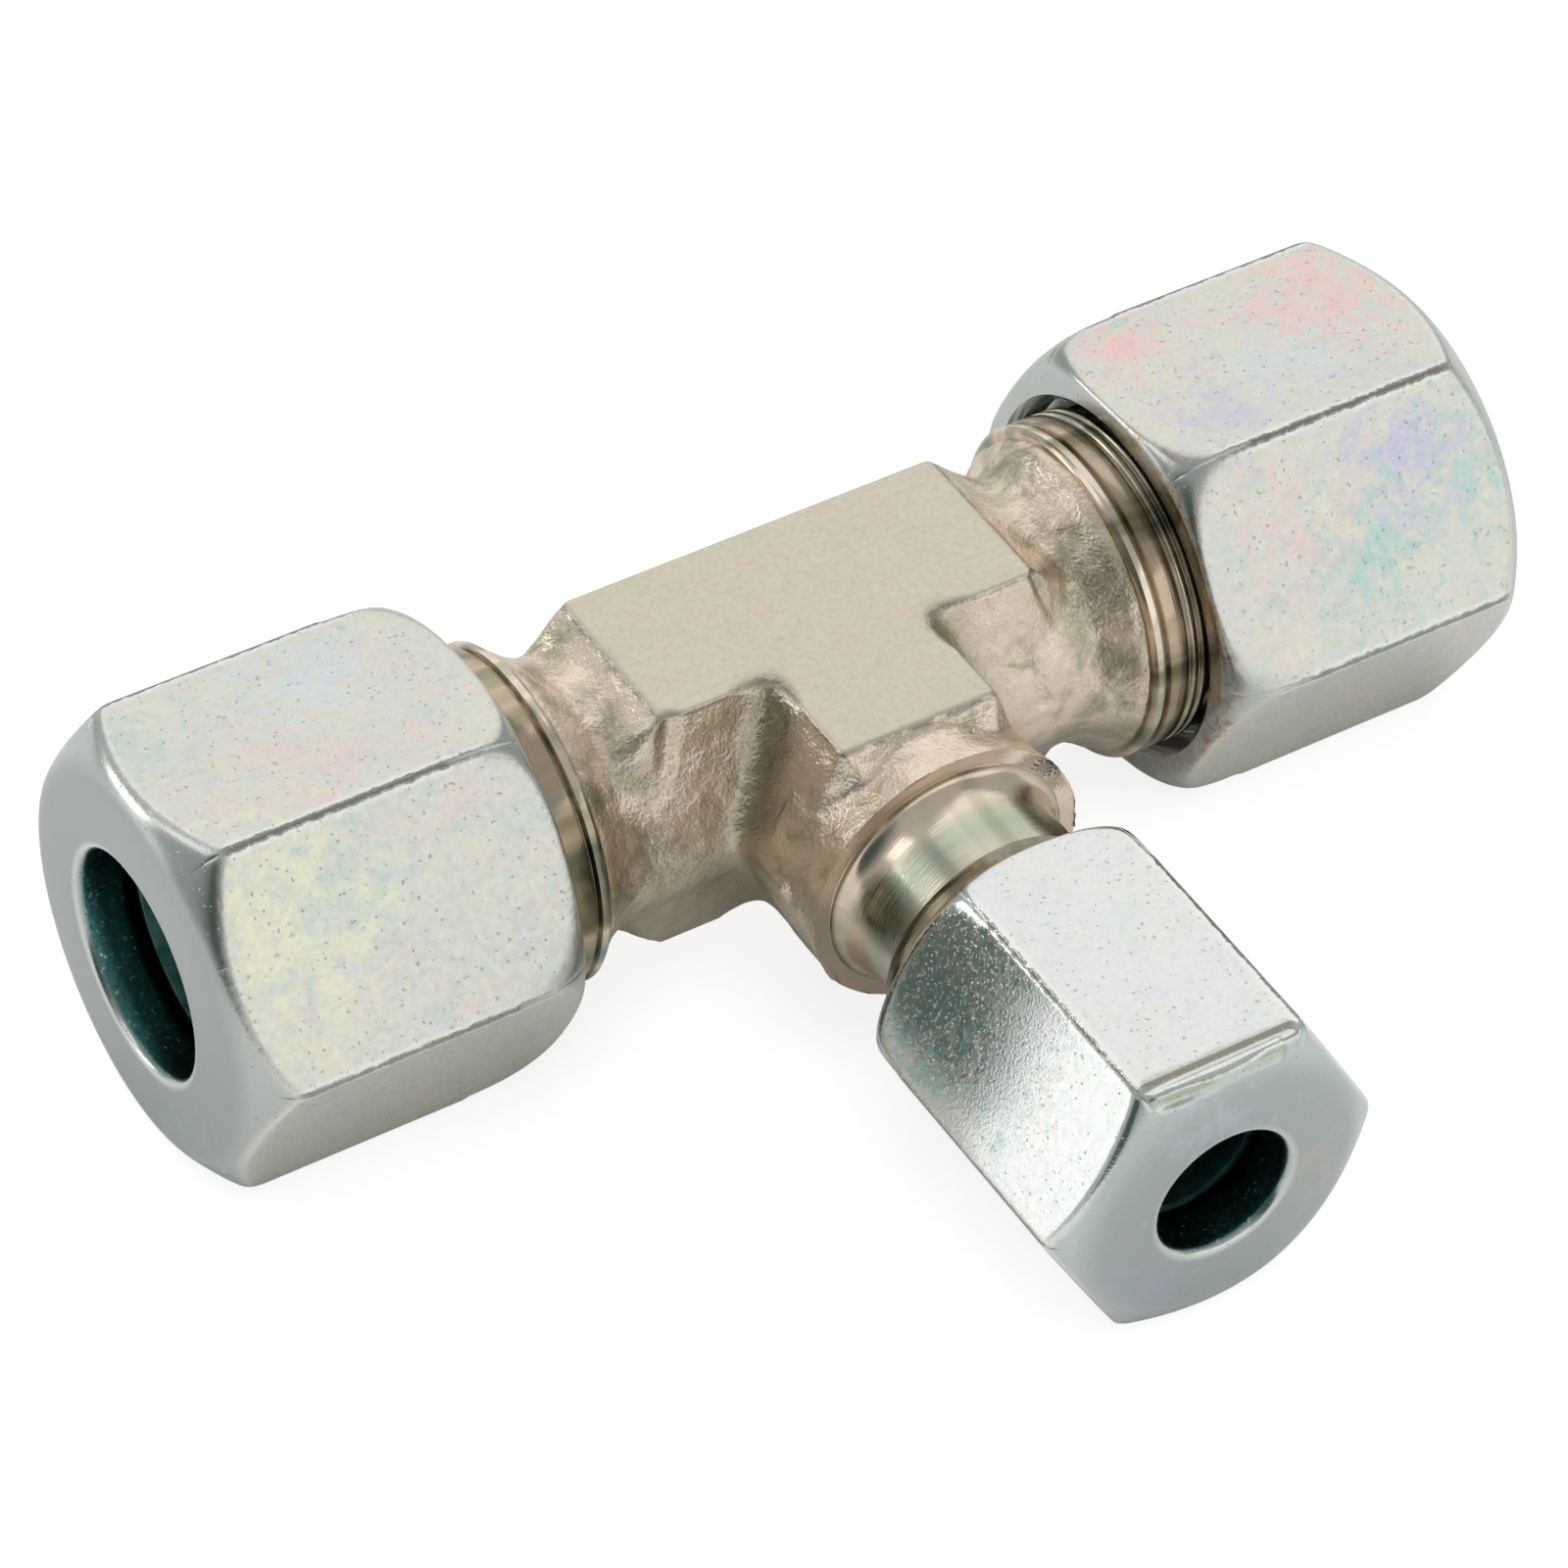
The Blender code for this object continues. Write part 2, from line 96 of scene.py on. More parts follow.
def flared_end(name, start, sections):
    """The round end of an arm along +X, which flares out; sections are (end, radius)."""
    start_piece()
    end, radius = sections[0]
    bpy.ops.mesh.primitive_cylinder_add(vertices=96, radius=radius * MM, depth=(end - start) * MM,
                                        location=((start + end) / 2 * MM, 0, 0),
                                        rotation=(0, math.pi / 2, 0))
    flare = bpy.context.object
    flare.name = name
    bpy.ops.object.transform_apply(location=True, rotation=True, scale=True)
    bpy.ops.object.mode_set(mode="EDIT")
    for next_end, next_radius in sections[1:]:
        select_where(flare, lambda co: co.x > end - 0.01)
        bpy.ops.mesh.extrude_region_move(TRANSFORM_OT_translate={"value": ((next_end - end) * MM, 0, 0)})
        growth = next_radius / radius
        bpy.ops.transform.resize(value=(1, growth, growth), center_override=(0, 0, 0))
        end, radius = next_end, next_radius
    bpy.ops.object.mode_set(mode="OBJECT")
    return flare


def turn_piece(piece, matrix):
    """Moves a finished mesh to its place and leaves its object at the origin, unturned."""
    piece.data.transform(matrix)
    piece.data.update()


def join_pieces(name, pieces):
    start_piece()
    for piece in pieces:
        piece.select_set(True)
    bpy.context.view_layer.objects.active = pieces[0]
    bpy.ops.object.join()
    joined = bpy.context.object
    joined.name = name
    return joined


def apply_modifier(piece, kind, **settings):
    start_piece()
    piece.select_set(True)
    bpy.context.view_layer.objects.active = piece
    modifier = piece.modifiers.new(kind.lower(), kind)
    for setting, value in settings.items():
        setattr(modifier, setting, value)
    bpy.ops.object.modifier_apply(modifier=modifier.name)


def press(piece, start, end, reach, depth):
    """Sinks the skin along a line between two points, deepest on the line."""
    start, end = Vector(start), Vector(end)
    line = end - start
    normals = [vertex.normal.copy() for vertex in piece.data.vertices]
    for vertex, normal in zip(piece.data.vertices, normals):
        place = vertex.co / MM
        share = max(0.0, min(1.0, (place - start).dot(line) / line.length_squared))
        distance = (place - start - line * share).length
        if distance < reach:
            fade = (1 - (distance / reach) ** 2) ** 2
            vertex.co -= normal * depth * fade * MM


def cut_square(piece, place, direction):
    """Saws off what lies beyond a plane and leaves a flat face there."""
    start_piece()
    piece.select_set(True)
    bpy.context.view_layer.objects.active = piece
    bpy.ops.object.mode_set(mode="EDIT")
    bpy.ops.mesh.select_all(action="SELECT")
    bpy.ops.mesh.bisect(plane_co=Vector(place) * MM, plane_no=direction, clear_outer=True, use_fill=True)
    bpy.ops.object.mode_set(mode="OBJECT")


arms = []
run_sections = [(9.2, 4.2, PAD_HEIGHT, 6.2), (9.6, 6.45, 6.1), (10.5, 6.0, 5.9), (11.4, 5.2, 5.4)]
run_flare = [(11.2, 6.1), (11.9, 6.25), (12.6, 6.65), (13.3, 7.2), (14.4, 7.6)]
for side in (1, -1):
    arm = drafted_bar(f"run_arm_{side}", -0.5, run_sections)
    end = flared_end(f"run_end_{side}", 8.0, run_flare)
    turn = Matrix.Rotation(0 if side > 0 else math.pi, 4, "Z")
    for part in (arm, end):
        turn_piece(part, turn)
        arms.append(part)
branch_sections = [(9.6, 3.8, PAD_HEIGHT, 6.7), (9.9, 6.5, 6.55), (10.6, 5.8, 5.9)]
arm = drafted_bar("branch_arm", -1.5, branch_sections)
end = flared_end("branch_end", 8.0, [(11.0, 6.35), (11.8, 6.5), (12.9, 6.7)])
for part in (arm, end):
    turn_piece(part, Matrix.Rotation(-math.pi / 2, 4, "Z"))
    arms.append(part)
forging = join_pieces("tee_forging", arms)
apply_modifier(forging, "REMESH", mode="VOXEL", voxel_size=FORGED_VOXEL * MM)
apply_modifier(forging, "SMOOTH", factor=0.5, iterations=7)

hollows = forging.vertex_groups.new(name="hollows")
corner_top, corner_side = Vector((4.2, 4.6, PAD_HEIGHT - 1.4)), Vector((6.5, 6.2, 0))
fall = corner_side - corner_top
for vertex in forging.data.vertices:
    place = Vector((abs(vertex.co.x), -vertex.co.y, abs(vertex.co.z))) / MM
    share = max(0.0, min(1.0, (place - corner_top).dot(fall) / fall.length_squared))
    distance = (place - corner_top - fall * share).length
    neck_end = 0.5 - 0.5 * abs(place.x - 10.7)
    hollows.add([vertex.index], max(0.0, neck_end, min(1.0, (2.4 - distance) / 1.8)), "REPLACE")
apply_modifier(forging, "SMOOTH", factor=0.6, iterations=320, vertex_group="hollows")

rough = forging.vertex_groups.new(name="rough")
for vertex in forging.data.vertices:
    on_pad = min(1.0, max(0.0, (abs(vertex.co.z) / MM - PAD_HEIGHT + 0.35) / 0.25))
    rough.add([vertex.index], 1.0 - 0.95 * on_pad, "REPLACE")
waves = bpy.data.textures.new("die_waves", "CLOUDS")
waves.noise_scale = 2.6 * MM
apply_modifier(forging, "DISPLACE", texture=waves, texture_coords="LOCAL", vertex_group="rough",
               strength=0.24 * MM, mid_level=0.5)
skin = bpy.data.textures.new("die_skin", "CLOUDS")
skin.noise_scale = 0.9 * MM
skin.noise_depth = 2
apply_modifier(forging, "DISPLACE", texture=skin, texture_coords="LOCAL", vertex_group="rough",
               strength=0.09 * MM, mid_level=0.5)
press(forging, (-9.0, -4.4, 6.7), (-9.5, -5.2, 4.6), 0.8, 0.35)
press(forging, (8.0, -5.2, 3.4), (8.9, -6.0, 0.8), 0.8, 0.12)
press(forging, (-6.1, -5.0, 5.0), (-6.3, -5.9, 2.6), 0.4, 0.15)
press(forging, (9.4, -4.3, 6.5), (10.2, -5.2, 4.0), 0.45, 0.25)
for side in (1, -1):
    cut_square(forging, (side * FORGED_END, 0, 0), (side, 0, 0))
cut_square(forging, (0, -BRANCH_FORGED_END, 0), (0, -1, 0))

for radius, direction, start, end in (
        (FLOW_RADIUS, (0, math.pi / 2, 0), -FORGED_END - 1, FORGED_END + 1),
        (BRANCH_FLOW_RADIUS, (math.pi / 2, 0, 0), 0, BRANCH_FORGED_END + 1)):
    start_piece()
    bpy.ops.mesh.primitive_cylinder_add(vertices=64, radius=radius * MM, depth=(end - start) * MM,
                                        rotation=direction)
    drill = bpy.context.object
    bpy.ops.object.transform_apply(location=True, rotation=True, scale=True)
    turn_piece(drill, Matrix.Translation((0, -(start + end) / 2 * MM, 0)) if start == 0 else Matrix())
    apply_modifier(forging, "BOOLEAN", operation="DIFFERENCE", object=drill, solver="EXACT")
    bpy.data.objects.remove(drill, do_unlink=True)
turn_piece(forging, tee_place)


def new_finish(name, roughness, metallic=1.0):
    """A material with its shader, and the object's own coordinates in millimetres."""
    finish = bpy.data.materials.new(name)
    finish.use_nodes = True
    tree = finish.node_tree
    shader = tree.nodes["Principled BSDF"]
    shader.inputs["Metallic"].default_value = metallic
    shader.inputs["Roughness"].default_value = roughness
    coordinates = tree.nodes.new("ShaderNodeTexCoord")
    scaled = tree.nodes.new("ShaderNodeMapping")
    scaled.inputs["Scale"].default_value = (1 / MM, 1 / MM, 1 / MM)
    tree.links.new(coordinates.outputs["Object"], scaled.inputs["Vector"])
    return finish, tree, shader, scaled.outputs["Vector"]


def stretched(tree, where, location=(0, 0, 0), rotation=(0, 0, 0), scale=(1, 1, 1)):
    mapping = tree.nodes.new("ShaderNodeMapping")
    mapping.inputs["Location"].default_value = location
    mapping.inputs["Rotation"].default_value = rotation
    mapping.inputs["Scale"].default_value = scale
    tree.links.new(where, mapping.inputs["Vector"])
    return mapping.outputs["Vector"]


def noise(tree, where, size, detail=2.0, distortion=0.0, roughness=0.5):
    """Noise whose features are about the given size in millimetres."""
    texture = tree.nodes.new("ShaderNodeTexNoise")
    texture.inputs["Scale"].default_value = 1 / size
    texture.inputs["Detail"].default_value = detail
    texture.inputs["Distortion"].default_value = distortion
    texture.inputs["Roughness"].default_value = roughness
    tree.links.new(where, texture.inputs["Vector"])
    return texture.outputs["Fac"]


def ramp(tree, factor, *stops):
    """Colours or grey values along a factor; a stop is (position, colour or grey)."""
    node = tree.nodes.new("ShaderNodeValToRGB")
    band = node.color_ramp
    while len(band.elements) < len(stops):
        band.elements.new(1.0)
    for element, (position, colour) in zip(band.elements, stops):
        element.position = position
        element.color = (*colour, 1) if isinstance(colour, tuple) else (colour, colour, colour, 1)
    tree.links.new(factor, node.inputs["Fac"])
    return node.outputs["Color"]


def blended(tree, factor, first, second, kind="MIX"):
    """Mixes two colours; each input is a socket or a value."""
    node = tree.nodes.new("ShaderNodeMix")
    node.data_type = "RGBA"
    node.blend_type = kind
    inputs = (node.inputs[0], node.inputs[6], node.inputs[7])
    for socket, value in zip(inputs, (factor, first, second)):
        if isinstance(value, bpy.types.NodeSocket):
            tree.links.new(value, socket)
        else:
            socket.default_value = value if socket.type == "VALUE" else (*value, 1)
    return node.outputs[2]


def maths(tree, operation, first, second=0.0, clamped=False):
    node = tree.nodes.new("ShaderNodeMath")
    node.operation = operation
    node.use_clamp = clamped
    for socket, value in zip(node.inputs, (first, second)):
        if isinstance(value, bpy.types.NodeSocket):
            tree.links.new(value, socket)
        else:
            socket.default_value = value
    return node.outputs[0]


def axis_of(tree, where, axis):
    split = tree.nodes.new("ShaderNodeSeparateXYZ")
    tree.links.new(where, split.inputs["Vector"])
    return split.outputs[axis]


def bumped(tree, height, depth, under=None):
    """A bump of the given depth in millimetres, on top of another bump if there is one."""
    bump = tree.nodes.new("ShaderNodeBump")
    bump.inputs["Strength"].default_value = 1.0
    bump.inputs["Distance"].default_value = depth * MM
    tree.links.new(height, bump.inputs["Height"])
    if under:
        tree.links.new(under, bump.inputs["Normal"])
    return bump.outputs["Normal"]


def scratch(tree, where, start, end, reach):
    """One along a line between two points, fading to zero over the given reach."""
    start, end = Vector(start), Vector(end)
    line = end - start
    along = tree.nodes.new("ShaderNodeVectorMath")
    along.operation = "DOT_PRODUCT"
    tree.links.new(stretched(tree, where, location=-start), along.inputs[0])
    along.inputs[1].default_value = line / line.length_squared
    share = maths(tree, "MULTIPLY", along.outputs["Value"], 1.0, True)
    nearest = tree.nodes.new("ShaderNodeVectorMath")
    nearest.operation = "MULTIPLY_ADD"
    tree.links.new(share, nearest.inputs[0])
    nearest.inputs[1].default_value = line
    nearest.inputs[2].default_value = start
    away = tree.nodes.new("ShaderNodeVectorMath")
    away.operation = "DISTANCE"
    tree.links.new(where, away.inputs[0])
    tree.links.new(nearest.outputs["Vector"], away.inputs[1])
    return maths(tree, "SUBTRACT", 1.0, maths(tree, "DIVIDE", away.outputs["Value"], reach), True)


forged_zinc, tree, shader, where = new_finish("forged_zinc", 0.4)
level = stretched(tree, stretched(tree, where, location=-CROSSING / MM), rotation=(-DROOP, 0, 0))
height_up = maths(tree, "ABSOLUTE", axis_of(tree, level, "Z"))
along_run = maths(tree, "ABSOLUTE", axis_of(tree, level, "X"))
along_branch = maths(tree, "MULTIPLY", axis_of(tree, level, "Y"), -1.0)
in_block = maths(tree, "SUBTRACT", 10.3, maths(tree, "MAXIMUM", along_run, along_branch))
in_block = maths(tree, "MULTIPLY", in_block, 4.0, True)
pad_mask = maths(tree, "MULTIPLY", maths(tree, "SUBTRACT", height_up, PAD_HEIGHT - 0.14), 10.0, True)
pad_mask = maths(tree, "MULTIPLY", pad_mask, in_block)
mottle = noise(tree, level, 2.0, 4.0, 0.6, 0.6)
flank_colour = ramp(tree, mottle, (0.30, (0.50, 0.46, 0.33)), (0.42, (0.79, 0.67, 0.54)),
                    (0.6, (0.91, 0.75, 0.63)), (0.75, (0.78, 0.68, 0.53)))
in_neck = maths(tree, "MULTIPLY", maths(tree, "SUBTRACT", along_run, 9.7), 0.9, True)
in_neck = maths(tree, "MULTIPLY", in_neck, ramp(tree, mottle, (0.38, 0.7), (0.56, 0.05)))
flank_colour = blended(tree, in_neck, flank_colour, (0.40, 0.37, 0.26))
# Painted shade: the flanks are darkened to olive towards the bottom, under the tee.
underside_shade = maths(tree, "MULTIPLY", maths(tree, "ADD", axis_of(tree, level, "Z"), 1.2), -0.6, True)
flank_colour = blended(tree, maths(tree, "MULTIPLY", underside_shade, 0.65), flank_colour, (0.34, 0.34, 0.25))
quarter = tree.nodes.new("ShaderNodeCombineXYZ")
for socket, value in zip(quarter.inputs, (along_run, along_branch, height_up)):
    tree.links.new(value, socket)
# Painted shade: darker olive down the concave corners where the run's flanks meet the branch's.
hollow = scratch(tree, quarter.outputs["Vector"], (4.2, 4.9, 6.2), (6.4, 7.4, 0.0), 2.3)
hollow = maths(tree, "ADD", hollow, maths(tree, "SUBTRACT", mottle, 0.62))
flank_colour = blended(tree, maths(tree, "MULTIPLY", hollow, 0.9, True), flank_colour, (0.34, 0.32, 0.21))
# Painted shade: the two pressed dents at the pad's ends are darkened along their lines.
notch = scratch(tree, level, (-9.3, -4.3, 6.5), (-9.7, -5.3, 4.6), 0.6)
end_line = scratch(tree, level, (9.4, -4.3, 6.5), (10.2, -5.2, 4.0), 0.5)
painted_dent_shade = maths(tree, "MULTIPLY", maths(tree, "MAXIMUM", notch, end_line), 1.4, True)
flank_colour = blended(tree, painted_dent_shade, flank_colour, (0.30, 0.29, 0.21))
pad_colour = ramp(tree, noise(tree, level, 0.28, 3.0, 0.2, 0.6), (0.32, (0.70, 0.635, 0.53)),
                  (0.5, (0.76, 0.69, 0.58)), (0.72, (0.80, 0.73, 0.62)))
pad_tint = ramp(tree, noise(tree, level, 1.6, 3.0, 0.4, 0.6), (0.38, (0.93, 0.98, 0.92)),
                (0.5, (1.0, 1.0, 1.0)), (0.64, (1.0, 0.96, 0.95)))
pad_colour = blended(tree, 1.0, pad_colour, pad_tint, "MULTIPLY")
colour = blended(tree, pad_mask, flank_colour, pad_colour)
cut_mask = maths(tree, "SUBTRACT", along_branch, BRANCH_FORGED_END - 0.05)
cut_mask = maths(tree, "MULTIPLY", cut_mask, 25.0, True)
colour = blended(tree, cut_mask, colour, (0.84, 0.68, 0.58))
wear = noise(tree, level, 0.6, 3.0, 0.3, 0.65)
crease = maths(tree, "ABSOLUTE", maths(tree, "SUBTRACT", height_up, PAD_HEIGHT - 0.16))
crease = maths(tree, "SUBTRACT", 1.0, maths(tree, "MULTIPLY", crease, 8.0), True)
crease = maths(tree, "MULTIPLY", crease, ramp(tree, wear, (0.38, 0.1), (0.52, 1.0)))
crease = maths(tree, "MULTIPLY", crease, in_block)
colour = blended(tree, maths(tree, "MULTIPLY", crease, 0.75), colour, (0.30, 0.27, 0.26))
tree.links.new(colour, shader.inputs["Base Color"])

skin_grain = noise(tree, level, 0.17, 2.0)
flank_rough = ramp(tree, skin_grain, (0.35, 0.44), (0.6, 0.28))
plain_mask = maths(tree, "MAXIMUM", pad_mask, cut_mask)
roughness = blended(tree, pad_mask, flank_rough, (0.5, 0.5, 0.5))
roughness = blended(tree, cut_mask, roughness, (0.44, 0.44, 0.44))
tree.links.new(roughness, shader.inputs["Roughness"])
grain_depth = blended(tree, plain_mask, skin_grain, (0.5, 0.5, 0.5))
normal = bumped(tree, grain_depth, 0.05)
pitting = blended(tree, plain_mask, noise(tree, level, 0.6, 3.0), (0.5, 0.5, 0.5))
normal = bumped(tree, pitting, 0.06, normal)
tree.links.new(normal, shader.inputs["Normal"])

forging.data.materials.clear()
forging.data.materials.append(forged_zinc)
start_piece()
forging.select_set(True)
bpy.context.view_layer.objects.active = forging
bpy.ops.object.shade_smooth_by_angle(angle=math.radians(40))
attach(forging, "tee")

# The run stubs: the forging's own ends, turned to a polished collar, a thread relief and an
# M16 x 1.5 thread, and bored for the tube with a 24 degree cone at the mouth.
PITCH = 1.5
RUN_END = 22.0
COLLAR_END = 16.5
COLLAR_RADIUS = 7.8
FINE_GROOVE = COLLAR_RADIUS - 0.18
DEEP_GROOVE = COLLAR_RADIUS - 0.25
RUN_CREST = 7.93
RUN_ROOT = 7.08
RUN_THREAD_START = 17.1
RUN_TUBE_RADIUS = 5.05
RUN_SEAT = 15.0
RUN_CONE_START = 16.825
RUN_MOUTH_RADIUS = 6.15


def turned(name, profile, steps, edge=0.0):
    """A closed profile of (radius, distance) points, spun about Z, with its corners broken."""
    start_piece()
    bpy.ops.mesh.primitive_circle_add(vertices=len(profile), radius=MM)
    piece = bpy.context.object
    piece.name = name
    for vertex, (radius, distance) in zip(piece.data.vertices, profile):
        vertex.co = Vector((radius, 0, distance)) * MM
    bpy.ops.object.mode_set(mode="EDIT")
    bpy.ops.mesh.select_all(action="SELECT")
    bpy.ops.mesh.spin(steps=steps, angle=2 * math.pi, center=(0, 0, 0), axis=(0, 0, 1))
    bpy.ops.mesh.select_all(action="SELECT")
    bpy.ops.mesh.remove_doubles(threshold=0.002 * MM)
    bpy.ops.mesh.normals_make_consistent(inside=False)
    bpy.ops.object.mode_set(mode="OBJECT")
    if edge:
        apply_modifier(piece, "BEVEL", width=edge * MM, segments=2, limit_method="ANGLE",
                       angle_limit=math.radians(24))
    return piece


def thread(name, root, crest, start, end, lead, inside=False):
    """A right-hand 60 degree thread as one ridge, run out at both ends over the lead."""
    outward = -1 if inside else 1
    base = root - outward * 0.15
    half_crest = PITCH / 16 if not inside else PITCH / 8
    half_base = half_crest + abs(crest - base) * math.tan(math.radians(30))
    start_piece()
    bpy.ops.mesh.primitive_plane_add(size=MM)
    ridge = bpy.context.object
    ridge.name = name
    middle = PITCH / 2 if inside else 0.0
    corners = [(base, -half_base), (base, half_base), (crest, -half_crest), (crest, half_crest)]
    first = math.floor(start / PITCH) * PITCH + middle
    for vertex, (radius, along) in zip(ridge.data.vertices, corners):
        vertex.co = Vector((radius, 0, first + along)) * MM
    turns = math.ceil((end - first) / PITCH)
    bpy.ops.object.mode_set(mode="EDIT")
    bpy.ops.mesh.select_all(action="SELECT")
    bpy.ops.mesh.delete(type="ONLY_FACE")
    bpy.ops.object.mode_set(mode="OBJECT")
    apply_modifier(ridge, "SCREW", axis="Z", angle=2 * math.pi, screw_offset=PITCH * MM,
                   iterations=turns, steps=72, render_steps=72, use_smooth_shade=True)
    bpy.ops.object.mode_set(mode="EDIT")
    bpy.ops.mesh.select_all(action="SELECT")
    bpy.ops.mesh.remove_doubles(threshold=0.002 * MM)
    bpy.ops.mesh.fill_holes(sides=4)
    bpy.ops.mesh.select_all(action="SELECT")
    bpy.ops.mesh.normals_make_consistent(inside=False)
    bpy.ops.object.mode_set(mode="OBJECT")
    for vertex in ridge.data.vertices:
        along = vertex.co.z / MM
        radius = math.hypot(vertex.co.x, vertex.co.y) / MM
        share = max(0.0, min(1.0, (along - start) / lead, (end - along) / lead))
        limit = base + (crest - base) * share
        held = max(radius, limit) if inside else min(radius, limit)
        vertex.co.x *= held / radius
        vertex.co.y *= held / radius
        vertex.co.z = max(start, min(end, along)) * MM
    return ridge


run_stub = turned("run_stub", [
    (RUN_ROOT - 0.1, RUN_END), (RUN_ROOT, RUN_END - 0.1), (RUN_ROOT, COLLAR_END + 0.25),
    (RUN_ROOT + 0.25, COLLAR_END), (COLLAR_RADIUS, COLLAR_END),
    (COLLAR_RADIUS, 16.25), (FINE_GROOVE, 16.15), (FINE_GROOVE, 16.1), (COLLAR_RADIUS, 16.0),
    (COLLAR_RADIUS, 15.75), (FINE_GROOVE, 15.65), (FINE_GROOVE, 15.6), (COLLAR_RADIUS, 15.5),
    (COLLAR_RADIUS, 14.55), (DEEP_GROOVE, 14.47), (DEEP_GROOVE, 14.35), (COLLAR_RADIUS, 14.25),
    (COLLAR_RADIUS, FORGED_END + 0.12), (COLLAR_RADIUS - 0.22, FORGED_END - 0.1),
    (FLOW_RADIUS + 0.6, FORGED_END - 0.1), (FLOW_RADIUS, FORGED_END + 0.05),
    (FLOW_RADIUS, RUN_SEAT), (RUN_TUBE_RADIUS, RUN_SEAT), (RUN_TUBE_RADIUS, RUN_CONE_START),
    (RUN_MOUTH_RADIUS, RUN_END)], steps=144, edge=0.04)
run_ridge = thread("run_thread", RUN_ROOT, RUN_CREST, RUN_THREAD_START, RUN_END, lead=0.7)
run_stub = join_pieces("run_stub_right", [run_stub, run_ridge])


def turned_zinc(name, along, start, bands, painted_reflections):
    """Polished turned steel under zinc: bands of colour from a place along the axis on, six
    millimetres in all, darkened by streaks of painted reflection that run along the axis. along
    turns the piece's axis onto X."""
    finish, tree, shader, where = new_finish(name, 0.16)
    centred = stretched(tree, stretched(tree, where, location=-CROSSING / MM), rotation=along)
    out = maths(tree, "SUBTRACT", maths(tree, "ABSOLUTE", axis_of(tree, centred, "X")), start)
    colour = ramp(tree, maths(tree, "DIVIDE", out, 6.0, True), *bands)
    # Painted reflection: light and dark streaks around the turning, stretched along the axis, multiply the
    # bands.
    painted_reflection = noise(tree, stretched(tree, centred, scale=(0.2, 1, 1)), 4.2, 2.5, 0.8)
    colour = blended(tree, 1.0, colour, ramp(tree, painted_reflection, *painted_reflections), "MULTIPLY")
    tree.links.new(colour, shader.inputs["Base Color"])
    lathe = noise(tree, stretched(tree, centred, scale=(14, 0.4, 0.4)), 1.0, 2.0)
    tree.links.new(ramp(tree, lathe, (0.3, 0.12), (0.7, 0.26)), shader.inputs["Roughness"])
    tree.links.new(bumped(tree, lathe, 0.006), shader.inputs["Normal"])
    return finish


run_stub.data.materials.clear()
run_stub.data.materials.append(turned_zinc(
    "turned_zinc", along=(0, 0, 0), start=FORGED_END - 0.1,
    bands=((0.0, (0.72, 0.62, 0.52)), (0.04, (0.90, 0.86, 0.79)), (0.09, (0.88, 0.84, 0.77)),
           (0.12, (0.30, 0.26, 0.19)), (0.16, (0.62, 0.52, 0.42)), (0.3, (0.60, 0.54, 0.45)),
           (0.36, (0.80, 0.80, 0.76)), (0.46, (0.40, 0.38, 0.31))),
    painted_reflections=((0.34, (0.18, 0.21, 0.18)), (0.43, (0.46, 0.42, 0.32)), (0.50, (0.80, 0.76, 0.70)),
             (0.57, (1.0, 0.87, 0.77)), (0.64, (0.54, 0.58, 0.50)), (0.72, (0.28, 0.38, 0.38)))))

run_ports = {
    "right": Matrix.Translation(CROSSING) @ Matrix.Rotation(math.pi / 2, 4, "Y"),
    "left": Matrix.Translation(CROSSING) @ Matrix.Rotation(-math.pi / 2, 4, "Y"),
}


def copied(piece, name):
    twin = piece.copy()
    twin.data = piece.data.copy()
    twin.name = name
    bpy.context.scene.collection.objects.link(twin)
    return twin


def finish_piece(piece, place, body, angle=30):
    """Puts a piece made on +Z in its place, smooths it and hangs it on its body."""
    turn_piece(piece, place)
    start_piece()
    piece.select_set(True)
    bpy.context.view_layer.objects.active = piece
    bpy.ops.object.shade_smooth_by_angle(angle=math.radians(angle))
    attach(piece, body)


run_stub_left = copied(run_stub, "run_stub_left")
finish_piece(run_stub, run_ports["right"], "tee")
finish_piece(run_stub_left, run_ports["left"], "tee")

# The branch stub: the same kind of turned end on the branch, smaller. Its forged end is cut
# square, and a hollow fillet runs down from it to the relief before the M12 x 1.5 thread.
BRANCH_END = 23.2
BRANCH_STEP = 5.75
FILLET_END = 13.9
BRANCH_CREST = 5.93
BRANCH_ROOT = 5.08
BRANCH_THREAD_START = 16.3
BRANCH_TUBE_RADIUS = 3.05
BRANCH_SEAT = 16.2
BRANCH_CONE_START = 18.495
BRANCH_MOUTH_RADIUS = 4.05
branch_port = tee_place @ Matrix.Rotation(math.pi / 2, 4, "X") @ Matrix.Rotation(math.pi / 2, 4, "Z")
fillet = []
for i in range(13):
    bend = math.pi / 2 * i / 12
    fillet.append((BRANCH_STEP - (BRANCH_STEP - BRANCH_ROOT) * math.cos(bend),
                   FILLET_END - (FILLET_END - BRANCH_FORGED_END) * math.sin(bend)))
branch_stub = turned("branch_stub", [
    (BRANCH_ROOT - 0.1, BRANCH_END), (BRANCH_ROOT, BRANCH_END - 0.1), *fillet,
    (BRANCH_STEP + 0.05, BRANCH_FORGED_END + 0.02), (BRANCH_STEP + 0.2, BRANCH_FORGED_END - 0.18),
    (BRANCH_STEP + 0.2, BRANCH_FORGED_END - 0.4),
    (BRANCH_FLOW_RADIUS + 0.6, BRANCH_FORGED_END - 0.4), (BRANCH_FLOW_RADIUS, BRANCH_FORGED_END - 0.2),
    (BRANCH_FLOW_RADIUS, BRANCH_SEAT), (BRANCH_TUBE_RADIUS, BRANCH_SEAT),
    (BRANCH_TUBE_RADIUS, BRANCH_CONE_START), (BRANCH_MOUTH_RADIUS, BRANCH_END)], steps=144, edge=0.06)
branch_ridge = thread("branch_thread", BRANCH_ROOT, BRANCH_CREST, BRANCH_THREAD_START, BRANCH_END,
                      lead=0.6)
branch_stub = join_pieces("branch_stub", [branch_stub, branch_ridge])
branch_stub.data.materials.clear()
